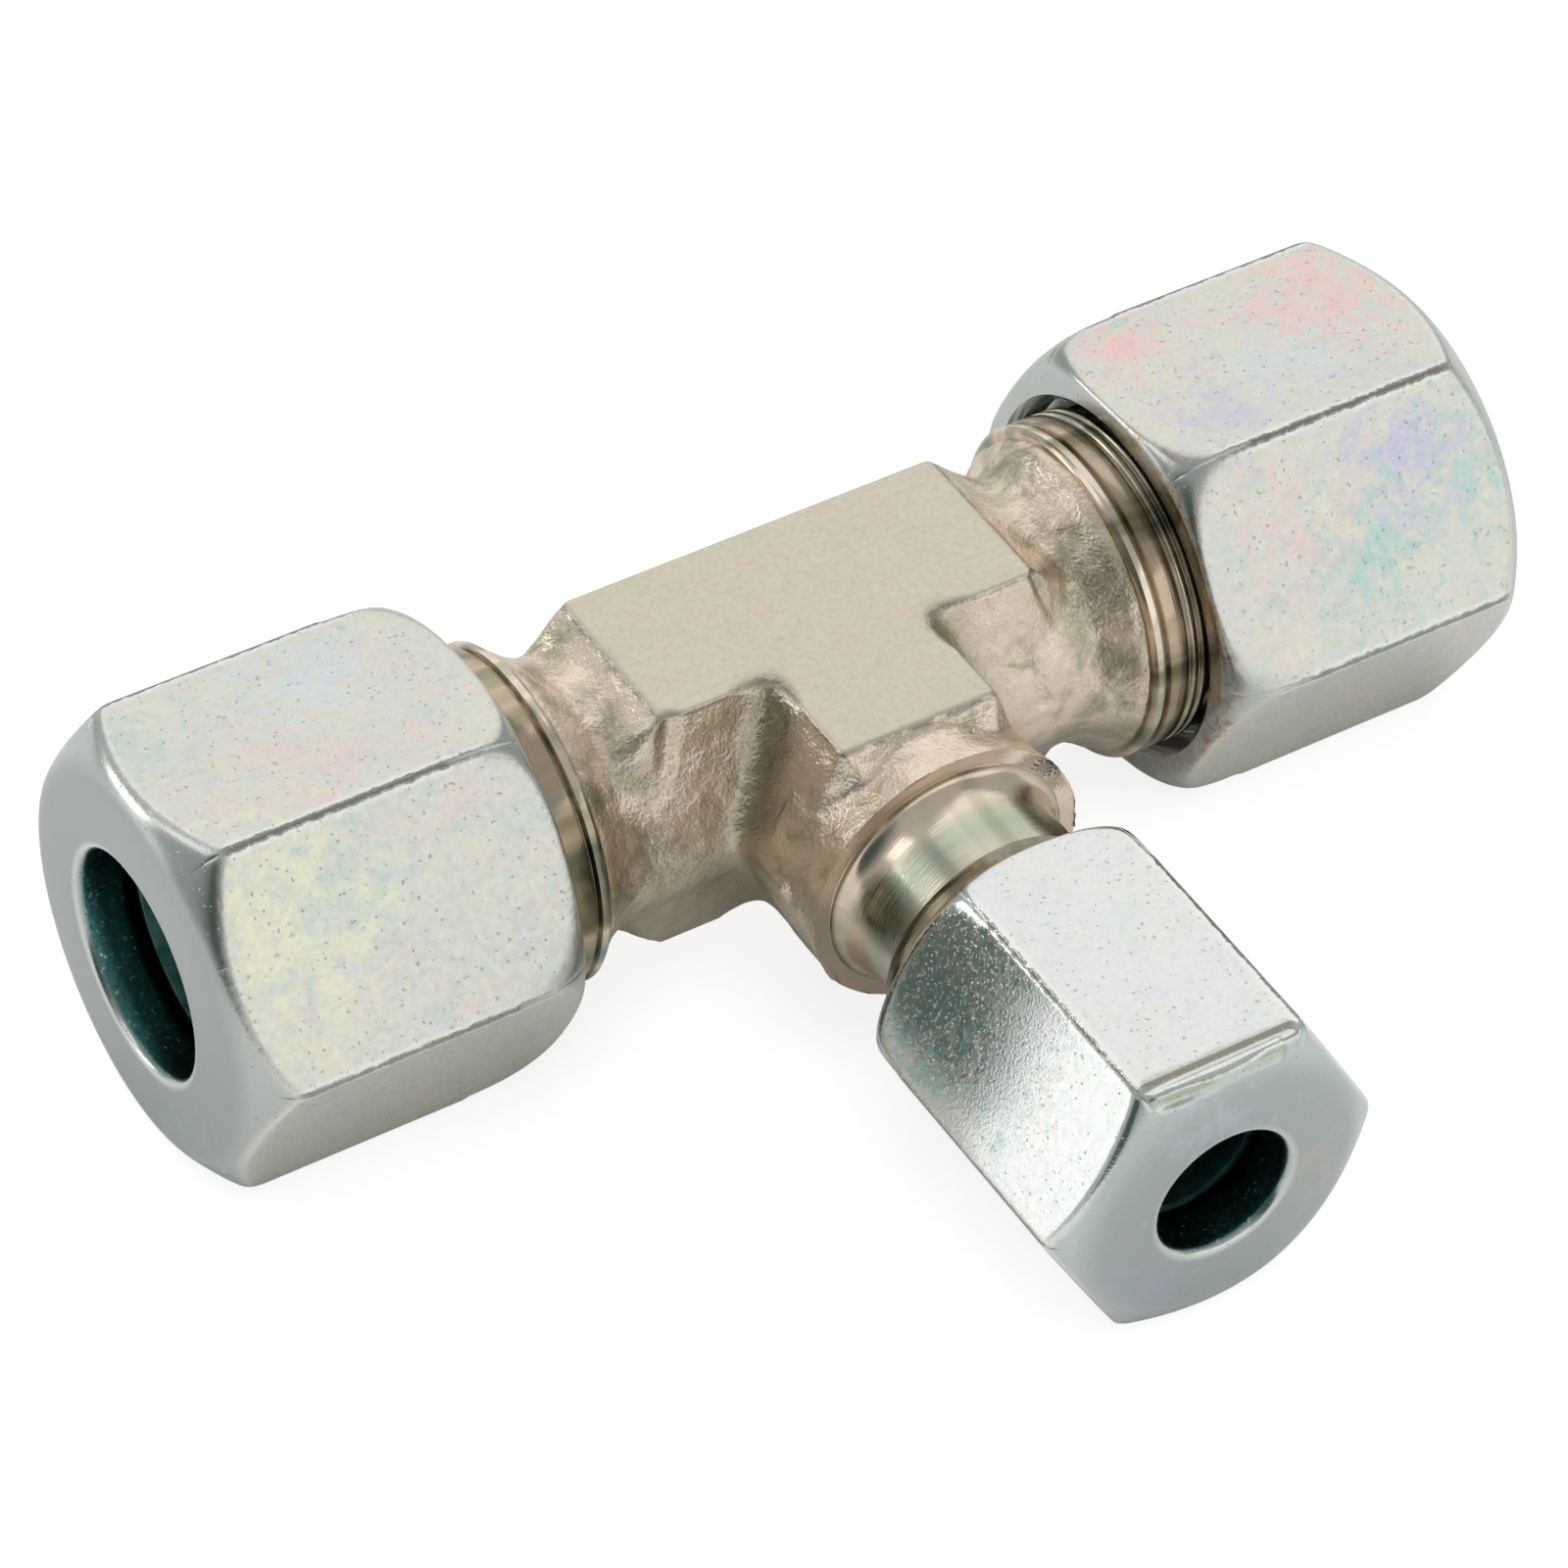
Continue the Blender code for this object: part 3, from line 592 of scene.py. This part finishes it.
branch_stub.data.materials.append(turned_zinc(
    "turned_zinc_branch", along=(-DROOP, 0, math.pi / 2), start=12.0,
    bands=((0.03, (0.42, 0.36, 0.27)), (0.07, (0.84, 0.68, 0.58)), (0.26, (0.90, 0.76, 0.64)),
           (0.36, (0.62, 0.62, 0.49)), (0.5, (0.52, 0.56, 0.46)), (0.68, (0.66, 0.60, 0.50))),
    painted_reflections=((0.36, (0.62, 0.66, 0.58)), (0.5, (1.0, 1.0, 0.98)), (0.66, (0.86, 0.90, 0.84)))))
finish_piece(branch_stub, branch_port, "tee")
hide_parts("tee_body")

# The cutting rings: small hardened steel rings, turned all over, with a cone that seats in
# the stub and two cutting edges inside. Each lies loose in its stub's mouth under its nut.
ring_steel, tree, shader, where = new_finish("ring_steel", 0.3)
tint = ramp(tree, noise(tree, where, 1.2, 2.0), (0.35, (0.10, 0.23, 0.23)), (0.65, (0.28, 0.42, 0.41)))
tree.links.new(tint, shader.inputs["Base Color"])
tree.links.new(bumped(tree, noise(tree, where, 0.2, 2.0), 0.01), shader.inputs["Normal"])
run_ring = turned("cutting_ring_run", [
    (5.45, 29.65), (6.35, 28.75), (6.35, 23.648), (6.15, 23.448), (5.45, 20.155),
    (RUN_TUBE_RADIUS, 20.15), (RUN_TUBE_RADIUS, 21.55), (5.3, 21.8), (5.3, 23.15),
    (RUN_TUBE_RADIUS, 23.15), (RUN_TUBE_RADIUS, 29.65)], steps=96, edge=0.05)
run_ring.data.materials.clear()
run_ring.data.materials.append(ring_steel)
ring_left = copied(run_ring, "ring_left")
run_ring.name = "ring_right"
finish_piece(run_ring, run_ports["right"], "ring_right")
finish_piece(ring_left, run_ports["left"], "ring_left")
branch_ring = turned("ring_branch", [
    (3.45, 30.82), (4.3, 29.97), (4.3, 25.08), (4.1, 24.88), (3.45, 21.825),
    (BRANCH_TUBE_RADIUS, 21.82), (BRANCH_TUBE_RADIUS, 23.22), (3.3, 23.47), (3.3, 24.82),
    (BRANCH_TUBE_RADIUS, 24.82), (BRANCH_TUBE_RADIUS, 30.82)], steps=96, edge=0.05)
branch_ring.data.materials.clear()
branch_ring.data.materials.append(ring_steel)
finish_piece(branch_ring, branch_port, "ring_branch")
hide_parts("cutting_ring_right")
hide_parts("cutting_ring_left")
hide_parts("cutting_ring_branch")

# The union nuts of the run: 19 mm hexagon steel, turned and tapped M16 x 1.5, its outer end
# faced and chamfered and its inner end domed. Bright zinc plate with a faint rainbow film.
RUN_FLATS = 19.0
RUN_NUT_OUTER = 32.474
RUN_NUT_INNER = 16.074
RUN_FACE = 8.8
RUN_FACE_ANGLE = math.radians(40)
RUN_NUT_BORE = 5.15
NUT_MOUTH_LENGTH = 1.6
NUT_RELIEF_LENGTH = 2.2
DOME_START = 0.49
DOME_DEPTH = 0.2
DOME_FULLNESS = 1.8
EDGE_SOFTNESS = 0.05 * MM
END_SOFTNESS = 0.2 * MM


def soft_step(value, softness):
    """Zero below zero and the value above it, with the bend between them rounded."""
    return softness * math.log1p(math.exp(value / softness))


def nut_outline(flats, outer, inner, face, face_angle, back):
    """Outside of a turned blank, from the chamfered outer end to the rounded inner end."""
    blank = flats / math.sqrt(3) + 1.2
    dome_top = flats / math.sqrt(3) + 0.3
    dome_start = DOME_START * flats
    dome_depth = DOME_DEPTH * flats
    slope = math.tan(face_angle)
    outline = []
    for i in range(31):
        radius = face - 0.9 + (blank - face + 0.9) * i / 30
        outline.append((radius, outer - soft_step(radius - face, 0.2) * slope))
    outline += [(blank, inner + dome_depth + 0.3), (dome_top, inner + dome_depth)]
    for i in range(1, 25):
        bend = math.pi / 2 * i / 24
        outline.append((dome_start + (dome_top - dome_start) * math.cos(bend) ** (2 / DOME_FULLNESS),
                        inner + dome_depth * (1 - math.sin(bend) ** (2 / DOME_FULLNESS)) + 0.03))
    outline.append((back, inner))
    return outline


def press_hexagon(nut, flats):
    """Presses the blank's outside to six flats, with softly rounded edges at both ends."""
    half = flats / 2 * MM
    sixth = math.pi / 3
    for vertex in nut.data.vertices:
        radius = math.hypot(vertex.co.x, vertex.co.y)
        angle = math.atan2(vertex.co.y, vertex.co.x)
        middle = round(angle / sixth) * sixth
        share = min(1.0, abs(angle - middle) * 2 / sixth)
        turn = math.copysign((1 - (1 - share) ** 1.7) * sixth / 2, angle - middle)
        spread = sum(math.exp((math.cos(turn - side) - 1) * half / EDGE_SOFTNESS)
                     for side in (-sixth, 0.0, sixth))
        hexagon = half / (1 + math.log(spread) * EDGE_SOFTNESS / half)
        pressed = hexagon - soft_step(hexagon - radius, END_SOFTNESS * (1 + 0.7 * share ** 6))
        vertex.co.x, vertex.co.y = pressed * math.cos(middle + turn), pressed * math.sin(middle + turn)


def union_nut(name, flats, outer, inner, face, face_angle, back, thread_sizes, bore, cavity,
              shoulder_line):
    """A spun blank pressed to a hexagon, bored, and tapped with its thread. thread_sizes are the
    radii of its root, crest, mouth and counterbore; cavity is the ring's chamber, and the 45
    degree shoulder behind it is where radius and distance add up to shoulder_line."""
    major, minor, mouth, counterbore = thread_sizes
    thread_start = inner + NUT_MOUTH_LENGTH
    shoulder = shoulder_line - cavity
    thread_end = shoulder - NUT_RELIEF_LENGTH
    nut = turned(name, [
        (bore + 0.4, outer), *nut_outline(flats, outer, inner, face, face_angle, back),
        (mouth + 0.05, inner), (mouth, inner + 0.05), (counterbore, inner + mouth - counterbore + 0.1),
        (counterbore, thread_start),
        (major, thread_start + counterbore - major), (major, thread_end),
        (cavity, thread_end + major - cavity), (cavity, shoulder), (bore, shoulder_line - bore),
        (bore, outer - 0.4), (bore + 0.1, outer - 0.14), (bore + 0.22, outer - 0.04)], steps=288)
    press_hexagon(nut, flats)
    ridge = thread(name + "_thread", major, minor, thread_start, thread_end, lead=0.5, inside=True)
    return join_pieces(name, [nut, ridge])


run_nut = union_nut("nut_right", RUN_FLATS, RUN_NUT_OUTER, RUN_NUT_INNER, RUN_FACE, RUN_FACE_ANGLE,
                    back=8.6, thread_sizes=(8.08, 7.19, 8.5, 8.2), bore=RUN_NUT_BORE, cavity=6.8,
                    shoulder_line=35.524)

PINK, TEAL, VIOLET = (0.92, 0.56, 0.53), (0.42, 0.64, 0.62), (0.58, 0.54, 0.78)
PALE_BLUE, STRAW, RUST = (0.66, 0.74, 0.84), (0.86, 0.83, 0.60), (0.36, 0.22, 0.10)
PATCH_FIELDS = 4


def patch(tree, where, centre, reach):
    """One at a place, fading to zero over the given reach."""
    away = tree.nodes.new("ShaderNodeVectorMath")
    away.operation = "DISTANCE"
    tree.links.new(where, away.inputs[0])
    away.inputs[1].default_value = centre
    return maths(tree, "SUBTRACT", 1.0, maths(tree, "DIVIDE", away.outputs["Value"], reach), True)


def bright_zinc(name, along, sizes, roughness, colours, film_strength, skin_size, pit_depth, stains_and_reflections,
                ridges=(), flecked=None):
    """Bright zinc plate: silver with a faint rainbow film, fine pits, and edges worn to a thin
    dark line beside a lighter band that is partly rubbed wear and partly painted highlight. The
    bore's rounded lip is glossier and painted lighter as a highlight, and the bore's dark teal is
    partly painted shade. along turns the nut's axis onto X; sizes are half the flats, the inner
    and outer end, the end face's radius and chamfer angle, and the bore; colours are the flats'
    and the end face's, the end face's darker partly as painted shade; a stain, or a painted
    reflection's tint, is (side, place, reach, colour, strength), a ridge is (start, end), and
    flecked is the place and reach of a rougher patch."""
    silver, end_silver = colours
    finish, tree, shader, where = new_finish(name, roughness)
    half_flats, inner, outer, face, face_angle, bore = sizes
    centred = stretched(tree, stretched(tree, where, location=-CROSSING / MM), rotation=along)
    axial = maths(tree, "ABSOLUTE", axis_of(tree, centred, "X"))
    high = axis_of(tree, centred, "Z")
    wide = maths(tree, "MULTIPLY", axis_of(tree, centred, "Y"), math.sqrt(0.75))
    half_high = maths(tree, "MULTIPLY", high, 0.5)
    level_flat = maths(tree, "ABSOLUTE", high)
    front_flat = maths(tree, "ABSOLUTE", maths(tree, "ADD", half_high, wide))
    back_flat = maths(tree, "ABSOLUTE", maths(tree, "SUBTRACT", half_high, wide))
    slanted = maths(tree, "MAXIMUM", front_flat, back_flat)
    largest = maths(tree, "MAXIMUM", level_flat, slanted)
    second = maths(tree, "MAXIMUM", maths(tree, "MINIMUM", level_flat, slanted),
                   maths(tree, "MINIMUM", front_flat, back_flat))
    from_corner = maths(tree, "SUBTRACT", largest, second)
    around = tree.nodes.new("ShaderNodeVectorMath")
    around.operation = "LENGTH"
    tree.links.new(stretched(tree, centred, scale=(0, 1, 1)), around.inputs[0])
    radial = around.outputs["Value"]
    cone = maths(tree, "ADD", maths(tree, "DIVIDE", maths(tree, "SUBTRACT", outer, axial),
                                    math.tan(face_angle)), face)
    from_chamfer = maths(tree, "SUBTRACT", cone, radial)
    on_flat = maths(tree, "MULTIPLY", maths(tree, "SUBTRACT", largest, half_flats - 0.16), 9.0, True)

    nicks = noise(tree, where, 0.5, 3.0, 0.3, 0.65)
    corner_line = maths(tree, "SUBTRACT", maths(tree, "MULTIPLY", nicks, 0.036 * half_flats), from_corner)
    corner_line = maths(tree, "MULTIPLY", maths(tree, "ADD", corner_line, 0.01), 9.0, True)
    chamfer_line = maths(tree, "SUBTRACT", maths(tree, "MULTIPLY", nicks, 0.5), from_chamfer)
    chamfer_line = maths(tree, "MULTIPLY", chamfer_line, 3.0, True)
    worn = maths(tree, "MAXIMUM", corner_line, maths(tree, "MULTIPLY", chamfer_line, 0.45))
    worn = maths(tree, "MULTIPLY", worn, on_flat)
    # A lighter band along the hex edges and the chamfer's edge on the flats: partly rubbed wear, partly
    # painted highlight.
    wear_and_painted_highlight = maths(tree, "MINIMUM", from_corner, maths(tree, "MULTIPLY", from_chamfer, 0.8))
    wear_and_painted_highlight = maths(tree, "SUBTRACT", maths(tree, "ADD", 0.28, maths(tree, "MULTIPLY", nicks, 0.3)), wear_and_painted_highlight)
    wear_and_painted_highlight = maths(tree, "MULTIPLY", maths(tree, "MULTIPLY", wear_and_painted_highlight, 5.0, True), on_flat)

    colour = ramp(tree, noise(tree, where, 0.3, 2.0, 0.2, 0.6), (0.3, tuple(0.93 * part for part in silver)),
                  (0.6, silver))
    speckle = noise(tree, where, 0.4, 3.0, 0.2, 0.6)
    for number, (size, low, tint) in enumerate((
            (1.7, 0.69, (0.44, 0.68, 0.62)), (1.5, 0.70, (0.90, 0.60, 0.55)),
            (1.8, 0.71, (0.58, 0.57, 0.78)), (3.6, 0.65, (0.82, 0.78, 0.58)))):
        spread = noise(tree, stretched(tree, where, location=(7.3 * number, 0, 3.1)), size, 3.0, 0.4, 0.6)
        share = maths(tree, "ADD", spread, maths(tree, "MULTIPLY", speckle, 0.35))
        share = maths(tree, "MULTIPLY", maths(tree, "SUBTRACT", share, low), 4.0, True)
        colour = blended(tree, maths(tree, "MULTIPLY", share, film_strength), colour, tint)
    turned_end = maths(tree, "MULTIPLY", maths(tree, "SUBTRACT", half_flats - 0.12, largest), 7.0, True)
    on_face = maths(tree, "MULTIPLY", maths(tree, "SUBTRACT", axial, outer - 0.55), 1.8, True)
    off_flat = maths(tree, "MULTIPLY", maths(tree, "SUBTRACT", half_flats - 0.04, largest), 8.0, True)
    rim = maths(tree, "MULTIPLY", maths(tree, "SUBTRACT", inner + 0.75, axial), 2.0, True)
    rim = maths(tree, "MULTIPLY", rim, off_flat)
    # The bore's rounded lip: glossier, and painted lighter as a highlight.
    lip_highlight = maths(tree, "ABSOLUTE", maths(tree, "SUBTRACT", radial, bore + 0.22))
    lip_highlight = maths(tree, "SUBTRACT", 1.0, maths(tree, "MULTIPLY", lip_highlight, 3.6), True)
    lip_highlight = maths(tree, "MULTIPLY", lip_highlight, on_face)
    grain = noise(tree, where, 0.16, 2.0)
    colour = blended(tree, maths(tree, "MULTIPLY", turned_end, 0.85), colour,
                     tuple(1.25 * part for part in end_silver))
    # The end face takes the darker end colour: partly its turned finish, partly painted shade.
    colour = blended(tree, on_face, colour, end_silver)
    # Painted highlight on the bore's lip.
    colour = blended(tree, lip_highlight, colour, (0.74, 0.76, 0.74))
    masks = {"flat": on_flat, "end": on_face, "rim": rim}
    broken = []
    for number in range(PATCH_FIELDS):
        shifted = stretched(tree, where, location=(0, 9.7 * number, 0))
        uneven = maths(tree, "MULTIPLY", noise(tree, shifted, 1.1, 4.0, 0.5, 0.7), 3.4)
        broken.append(maths(tree, "ADD", uneven, maths(tree, "MULTIPLY", speckle, 0.9)))
    for number, (side, place, reach, tint, strength) in enumerate(stains_and_reflections):
        share = maths(tree, "ADD", patch(tree, where, place, reach), broken[number % PATCH_FIELDS])
        share = maths(tree, "MULTIPLY", maths(tree, "SUBTRACT", share, 2.55), 1.4, True)
        share = maths(tree, "MULTIPLY", maths(tree, "MULTIPLY", share, strength), masks[side])
        colour = blended(tree, share, colour, tint)
    dots = ramp(tree, noise(tree, where, 0.22, 1.5), (0.24, 1.0), (0.31, 0.0))
    colour = blended(tree, maths(tree, "MULTIPLY", dots, 0.22), colour, (0.30, 0.32, 0.30))
    for start, end in ridges:
        foot = maths(tree, "ADD", scratch(tree, where, start, end, 0.6), maths(tree, "MULTIPLY", nicks, 0.7))
        foot = maths(tree, "MULTIPLY", maths(tree, "SUBTRACT", foot, 0.75), 2.5, True)
        colour = blended(tree, maths(tree, "MULTIPLY", foot, 0.55), colour, (0.42, 0.42, 0.27))
    # Lighter edge band: rubbed wear and painted highlight.
    colour = blended(tree, maths(tree, "MULTIPLY", wear_and_painted_highlight, 0.7), colour, (0.86, 0.87, 0.84))
    colour = blended(tree, maths(tree, "MULTIPLY", worn, 0.8), colour, (0.24, 0.235, 0.185))
    # The bore is dark teal with pale specks: partly its own tint, partly painted shade inside the hole.
    in_bore = maths(tree, "MULTIPLY", maths(tree, "SUBTRACT", bore + 0.1, radial), 12.0, True)
    bore_tint_and_shade = ramp(tree, noise(tree, where, 0.3, 3.0, 0.2, 0.75), (0.35, (0.08, 0.22, 0.215)),
                       (0.60, (0.15, 0.33, 0.32)), (0.66, (0.75, 0.84, 0.82)))
    colour = blended(tree, in_bore, colour, bore_tint_and_shade)
    tree.links.new(colour, shader.inputs["Base Color"])

    fine = noise(tree, where, 0.35, 3.0, 0.2, 0.55)
    gloss = ramp(tree, fine, (0.3, roughness - 0.05), (0.7, roughness + 0.07))
    gloss = blended(tree, turned_end, gloss, (0.22, 0.22, 0.22))
    gloss = blended(tree, on_face, gloss, (0.32, 0.32, 0.32))
    gloss = blended(tree, lip_highlight, gloss, (0.18, 0.18, 0.18))
    tree.links.new(gloss, shader.inputs["Roughness"])
    skin = blended(tree, turned_end, noise(tree, where, skin_size, 3.0, 0.2, 0.55), (0.5, 0.5, 0.5))
    normal = bumped(tree, skin, pit_depth)
    if flecked:
        flecks = ramp(tree, noise(tree, where, 0.16, 2.0, 0.3), (0.60, 0.0), (0.72, 1.0))
        near = maths(tree, "MULTIPLY", patch(tree, where, *flecked), 2.0, True)
        normal = bumped(tree, maths(tree, "MULTIPLY", flecks, near), 0.0055, normal)
    normal = bumped(tree, dots, -0.02, normal)
    normal = bumped(tree, worn, -0.05, normal)
    normal = bumped(tree, grain, 0.003, normal)
    tree.links.new(normal, shader.inputs["Normal"])
    return finish


run_nut.data.materials.clear()
run_nut.data.materials.append(bright_zinc(
    "bright_zinc", along=(0, 0, 0),
    sizes=(RUN_FLATS / 2, RUN_NUT_INNER, RUN_NUT_OUTER, RUN_FACE, RUN_FACE_ANGLE, RUN_NUT_BORE),
    roughness=0.3, colours=((0.73, 0.715, 0.65), (0.43, 0.45, 0.44)), film_strength=0.4,
    skin_size=0.35, pit_depth=0.02, stains_and_reflections=(
        ("flat", (28.6, 13.3, 19.0), 7.0, PINK, 0.75), ("flat", (19.0, 15.1, 19.0), 4.5, PINK, 0.75),
        ("flat", (20.3, 8.5, 19.0), 5.0, VIOLET, 0.5), ("flat", (25.0, 10.0, 19.0), 5.0, PALE_BLUE, 0.5),
        ("flat", (26.8, 4.7, 16.6), 6.0, VIOLET, 0.75), ("flat", (24.3, 2.6, 13.0), 6.0, TEAL, 0.75),
        ("flat", (30.6, 3.5, 14.7), 5.0, TEAL, 0.65), ("flat", (21.0, 3.5, 14.7), 6.0, PINK, 0.3),
        ("flat", (-22.4, 14.1, 19.0), 5.5, PALE_BLUE, 0.6), ("flat", (-31.0, 14.3, 19.0), 5.0, TEAL, 0.5),
        ("flat", (-25.0, 9.0, 19.0), 5.0, PINK, 0.3), ("flat", (-26.0, 4.5, 16.5), 5.0, TEAL, 0.4),
        ("flat", (-29.0, 3.9, 15.3), 9.0, STRAW, 0.65), ("end", (-32.4, 8.0, 3.0), 5.0, TEAL, 0.3),
        ("rim", (16.3, 3.5, 14.0), 12.0, RUST, 0.75), ("rim", (16.3, 4.6, 4.5), 9.0, RUST, 0.5))))
nut_left = copied(run_nut, "nut_left")
finish_piece(run_nut, run_ports["right"], "nut_right")
finish_piece(nut_left, run_ports["left"], "nut_left")
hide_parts("union_nut_right")
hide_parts("union_nut_left")

# The union nut of the branch: the same nut for the smaller tube, 14 mm across its flats,
# tapped M12 x 1.5. Its flats are drawn smoother, so they mirror more.
BRANCH_FLATS = 14.0
BRANCH_NUT_OUTER = 33.644
BRANCH_NUT_INNER = 18.344
BRANCH_FACE = 6.2
BRANCH_FACE_ANGLE = math.radians(30)
BRANCH_NUT_BORE = 3.15
branch_nut = union_nut("nut_branch", BRANCH_FLATS, BRANCH_NUT_OUTER, BRANCH_NUT_INNER, BRANCH_FACE,
                       BRANCH_FACE_ANGLE, back=6.4, thread_sizes=(6.08, 5.19, 6.3, 6.2),
                       bore=BRANCH_NUT_BORE, cavity=4.75, shoulder_line=34.694)
branch_nut.data.materials.clear()
branch_nut.data.materials.append(bright_zinc(
    "polished_zinc", along=(-DROOP, 0, math.pi / 2),
    sizes=(BRANCH_FLATS / 2, BRANCH_NUT_INNER, BRANCH_NUT_OUTER, BRANCH_FACE, BRANCH_FACE_ANGLE,
           BRANCH_NUT_BORE),
    roughness=0.12, colours=((0.80, 0.80, 0.79), (0.47, 0.52, 0.505)), film_strength=0.12,
    skin_size=0.12, pit_depth=0.0042, stains_and_reflections=(
        # The teal patch on the left flat is painted reflection: it tints the flat where it mirrors the dark
        # side of the room; the rest are film colours and rust.
        ("flat", (-6.2, -9.8, 10.0), 7.5, TEAL, 0.75), ("rim", (-4.4, -7.3, 13.9), 8.0, RUST, 0.8),
        ("rim", (-0.7, -7.4, 16.1), 8.0, RUST, 0.8), ("end", (6.0, -21.9, 5.3), 5.5, PINK, 0.2),
        ("end", (-5.0, -21.9, 3.0), 5.0, VIOLET, 0.35), ("end", (-1.0, -22.4, 11.8), 4.0, PALE_BLUE, 0.35)),
    ridges=(((-3.5, -21.05, 14.0), (3.4, -21.15, 14.0)), ((-3.5, -22.0, 13.6), (2.6, -21.95, 13.6))),
    flecked=((-6.0, -10.5, 10.0), 8.0)))
finish_piece(branch_nut, branch_port, "nut_branch")
press(branch_nut, (-3.6, -21.35, 13.9), (3.4, -21.35, 13.9), 0.4, 0.16)
press(branch_nut, (-3.4, -21.7, 13.7), (2.6, -21.65, 13.8), 0.3, -0.1)
press(branch_nut, (-3.3, -22.05, 13.45), (2.2, -21.95, 13.6), 0.35, 0.13)
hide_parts("union_nut_branch")

# The setting: a pale floor that the tee lies on, the soft light of a studio and the camera of
# the photograph. The camera sees white behind the tee, and its metal mirrors a grey room.
start_piece()
bpy.ops.mesh.primitive_plane_add(size=3.0)
floor = bpy.context.object
floor.name = "floor"
pale = bpy.data.materials.new("pale_floor")
pale.use_nodes = True
tree = pale.node_tree
shader = tree.nodes["Principled BSDF"]
shader.inputs["Roughness"].default_value = 0.9
light_path = tree.nodes.new("ShaderNodeLightPath")
camera_ray = light_path.outputs["Is Camera Ray"]
floor_colour = blended(tree, camera_ray, (0.85, 0.85, 0.85), (0.35, 0.35, 0.35))
tree.links.new(floor_colour, shader.inputs["Base Color"])
mirrored = maths(tree, "MAXIMUM", light_path.outputs["Is Glossy Ray"],
                 light_path.outputs["Is Transmission Ray"])
glow = tree.nodes.new("ShaderNodeEmission")
tree.links.new(maths(tree, "MAXIMUM", maths(tree, "MULTIPLY", camera_ray, 0.82),
                     maths(tree, "MULTIPLY", mirrored, 0.06)), glow.inputs["Strength"])
total = tree.nodes.new("ShaderNodeAddShader")
tree.links.new(shader.outputs[0], total.inputs[0])
tree.links.new(glow.outputs[0], total.inputs[1])
tree.links.new(total.outputs[0], tree.nodes["Material Output"].inputs["Surface"])
floor.data.materials.append(pale)

world = bpy.data.worlds.new("studio")
bpy.context.scene.world = world
world.use_nodes = True
tree = world.node_tree
sky = tree.nodes["Background"]
direction = tree.nodes.new("ShaderNodeTexCoord").outputs["Generated"]
rise = axis_of(tree, direction, "Z")
sky_colour = ramp(tree, rise, (0.0, (0.46, 0.50, 0.49)), (0.3, (0.40, 0.43, 0.42)),
                  (1.0, (0.46, 0.47, 0.46)))
shade_towards = tree.nodes.new("ShaderNodeVectorMath")
shade_towards.operation = "DOT_PRODUCT"
tree.links.new(direction, shade_towards.inputs[0])
shade_towards.inputs[1].default_value = (-0.837, -0.483, 0.259)
shade = ramp(tree, shade_towards.outputs["Value"], (0.80, 0.0), (0.95, 1.0))
sky_colour = blended(tree, shade, sky_colour, (0.07, 0.10, 0.09))
light_path = tree.nodes.new("ShaderNodeLightPath")
tree.links.new(blended(tree, light_path.outputs["Is Camera Ray"], sky_colour, (1.0, 1.0, 1.0)),
               sky.inputs["Color"])

for name, azimuth, height, reach, size, brightness in (
        ("back_softbox", 148, 43, 0.65, (0.8, 0.8), 0.56),
        ("front_softbox", 25, 18, 0.6, (0.75, 0.34), 0.62),
        ("side_card", -123, 3, 0.5, (0.22, 0.15), 0.8),
        ("chamfer_card", -135, 19, 0.5, (0.18, 0.13), 3.2),
        ("left_softbox", -113, 42, 0.6, (0.25, 0.25), 0.9),
        ("overhead", -20, 72, 0.9, (0.5, 0.5), 3.2)):
    lamp = bpy.data.lights.new(name, "AREA")
    lamp.shape = "RECTANGLE"
    lamp.size, lamp.size_y = size
    lamp.energy = brightness * math.pi * size[0] * size[1]
    light = bpy.data.objects.new(name, lamp)
    bpy.context.scene.collection.objects.link(light)
    around, up = math.radians(azimuth), math.radians(height)
    towards = Vector((math.sin(around) * math.cos(up), -math.cos(around) * math.cos(up), math.sin(up)))
    light.location = CROSSING + towards * reach
    light.rotation_euler = towards.to_track_quat("Z", "Y").to_euler()
    light.visible_glossy = name != "overhead"

lens = bpy.data.cameras.new("camera")
lens.lens = 165.9886
lens.sensor_width = 36
lens.clip_start = 0.01
lens.clip_end = 10
camera = bpy.data.objects.new("camera", lens)
bpy.context.scene.collection.objects.link(camera)
camera.location = (-0.12498177, -0.19554825, 0.21173259)
camera.rotation_euler = (0.86280521, 0.01137523, -0.55071826)
bpy.context.scene.camera = camera
bpy.context.scene.view_settings.view_transform = "Standard"
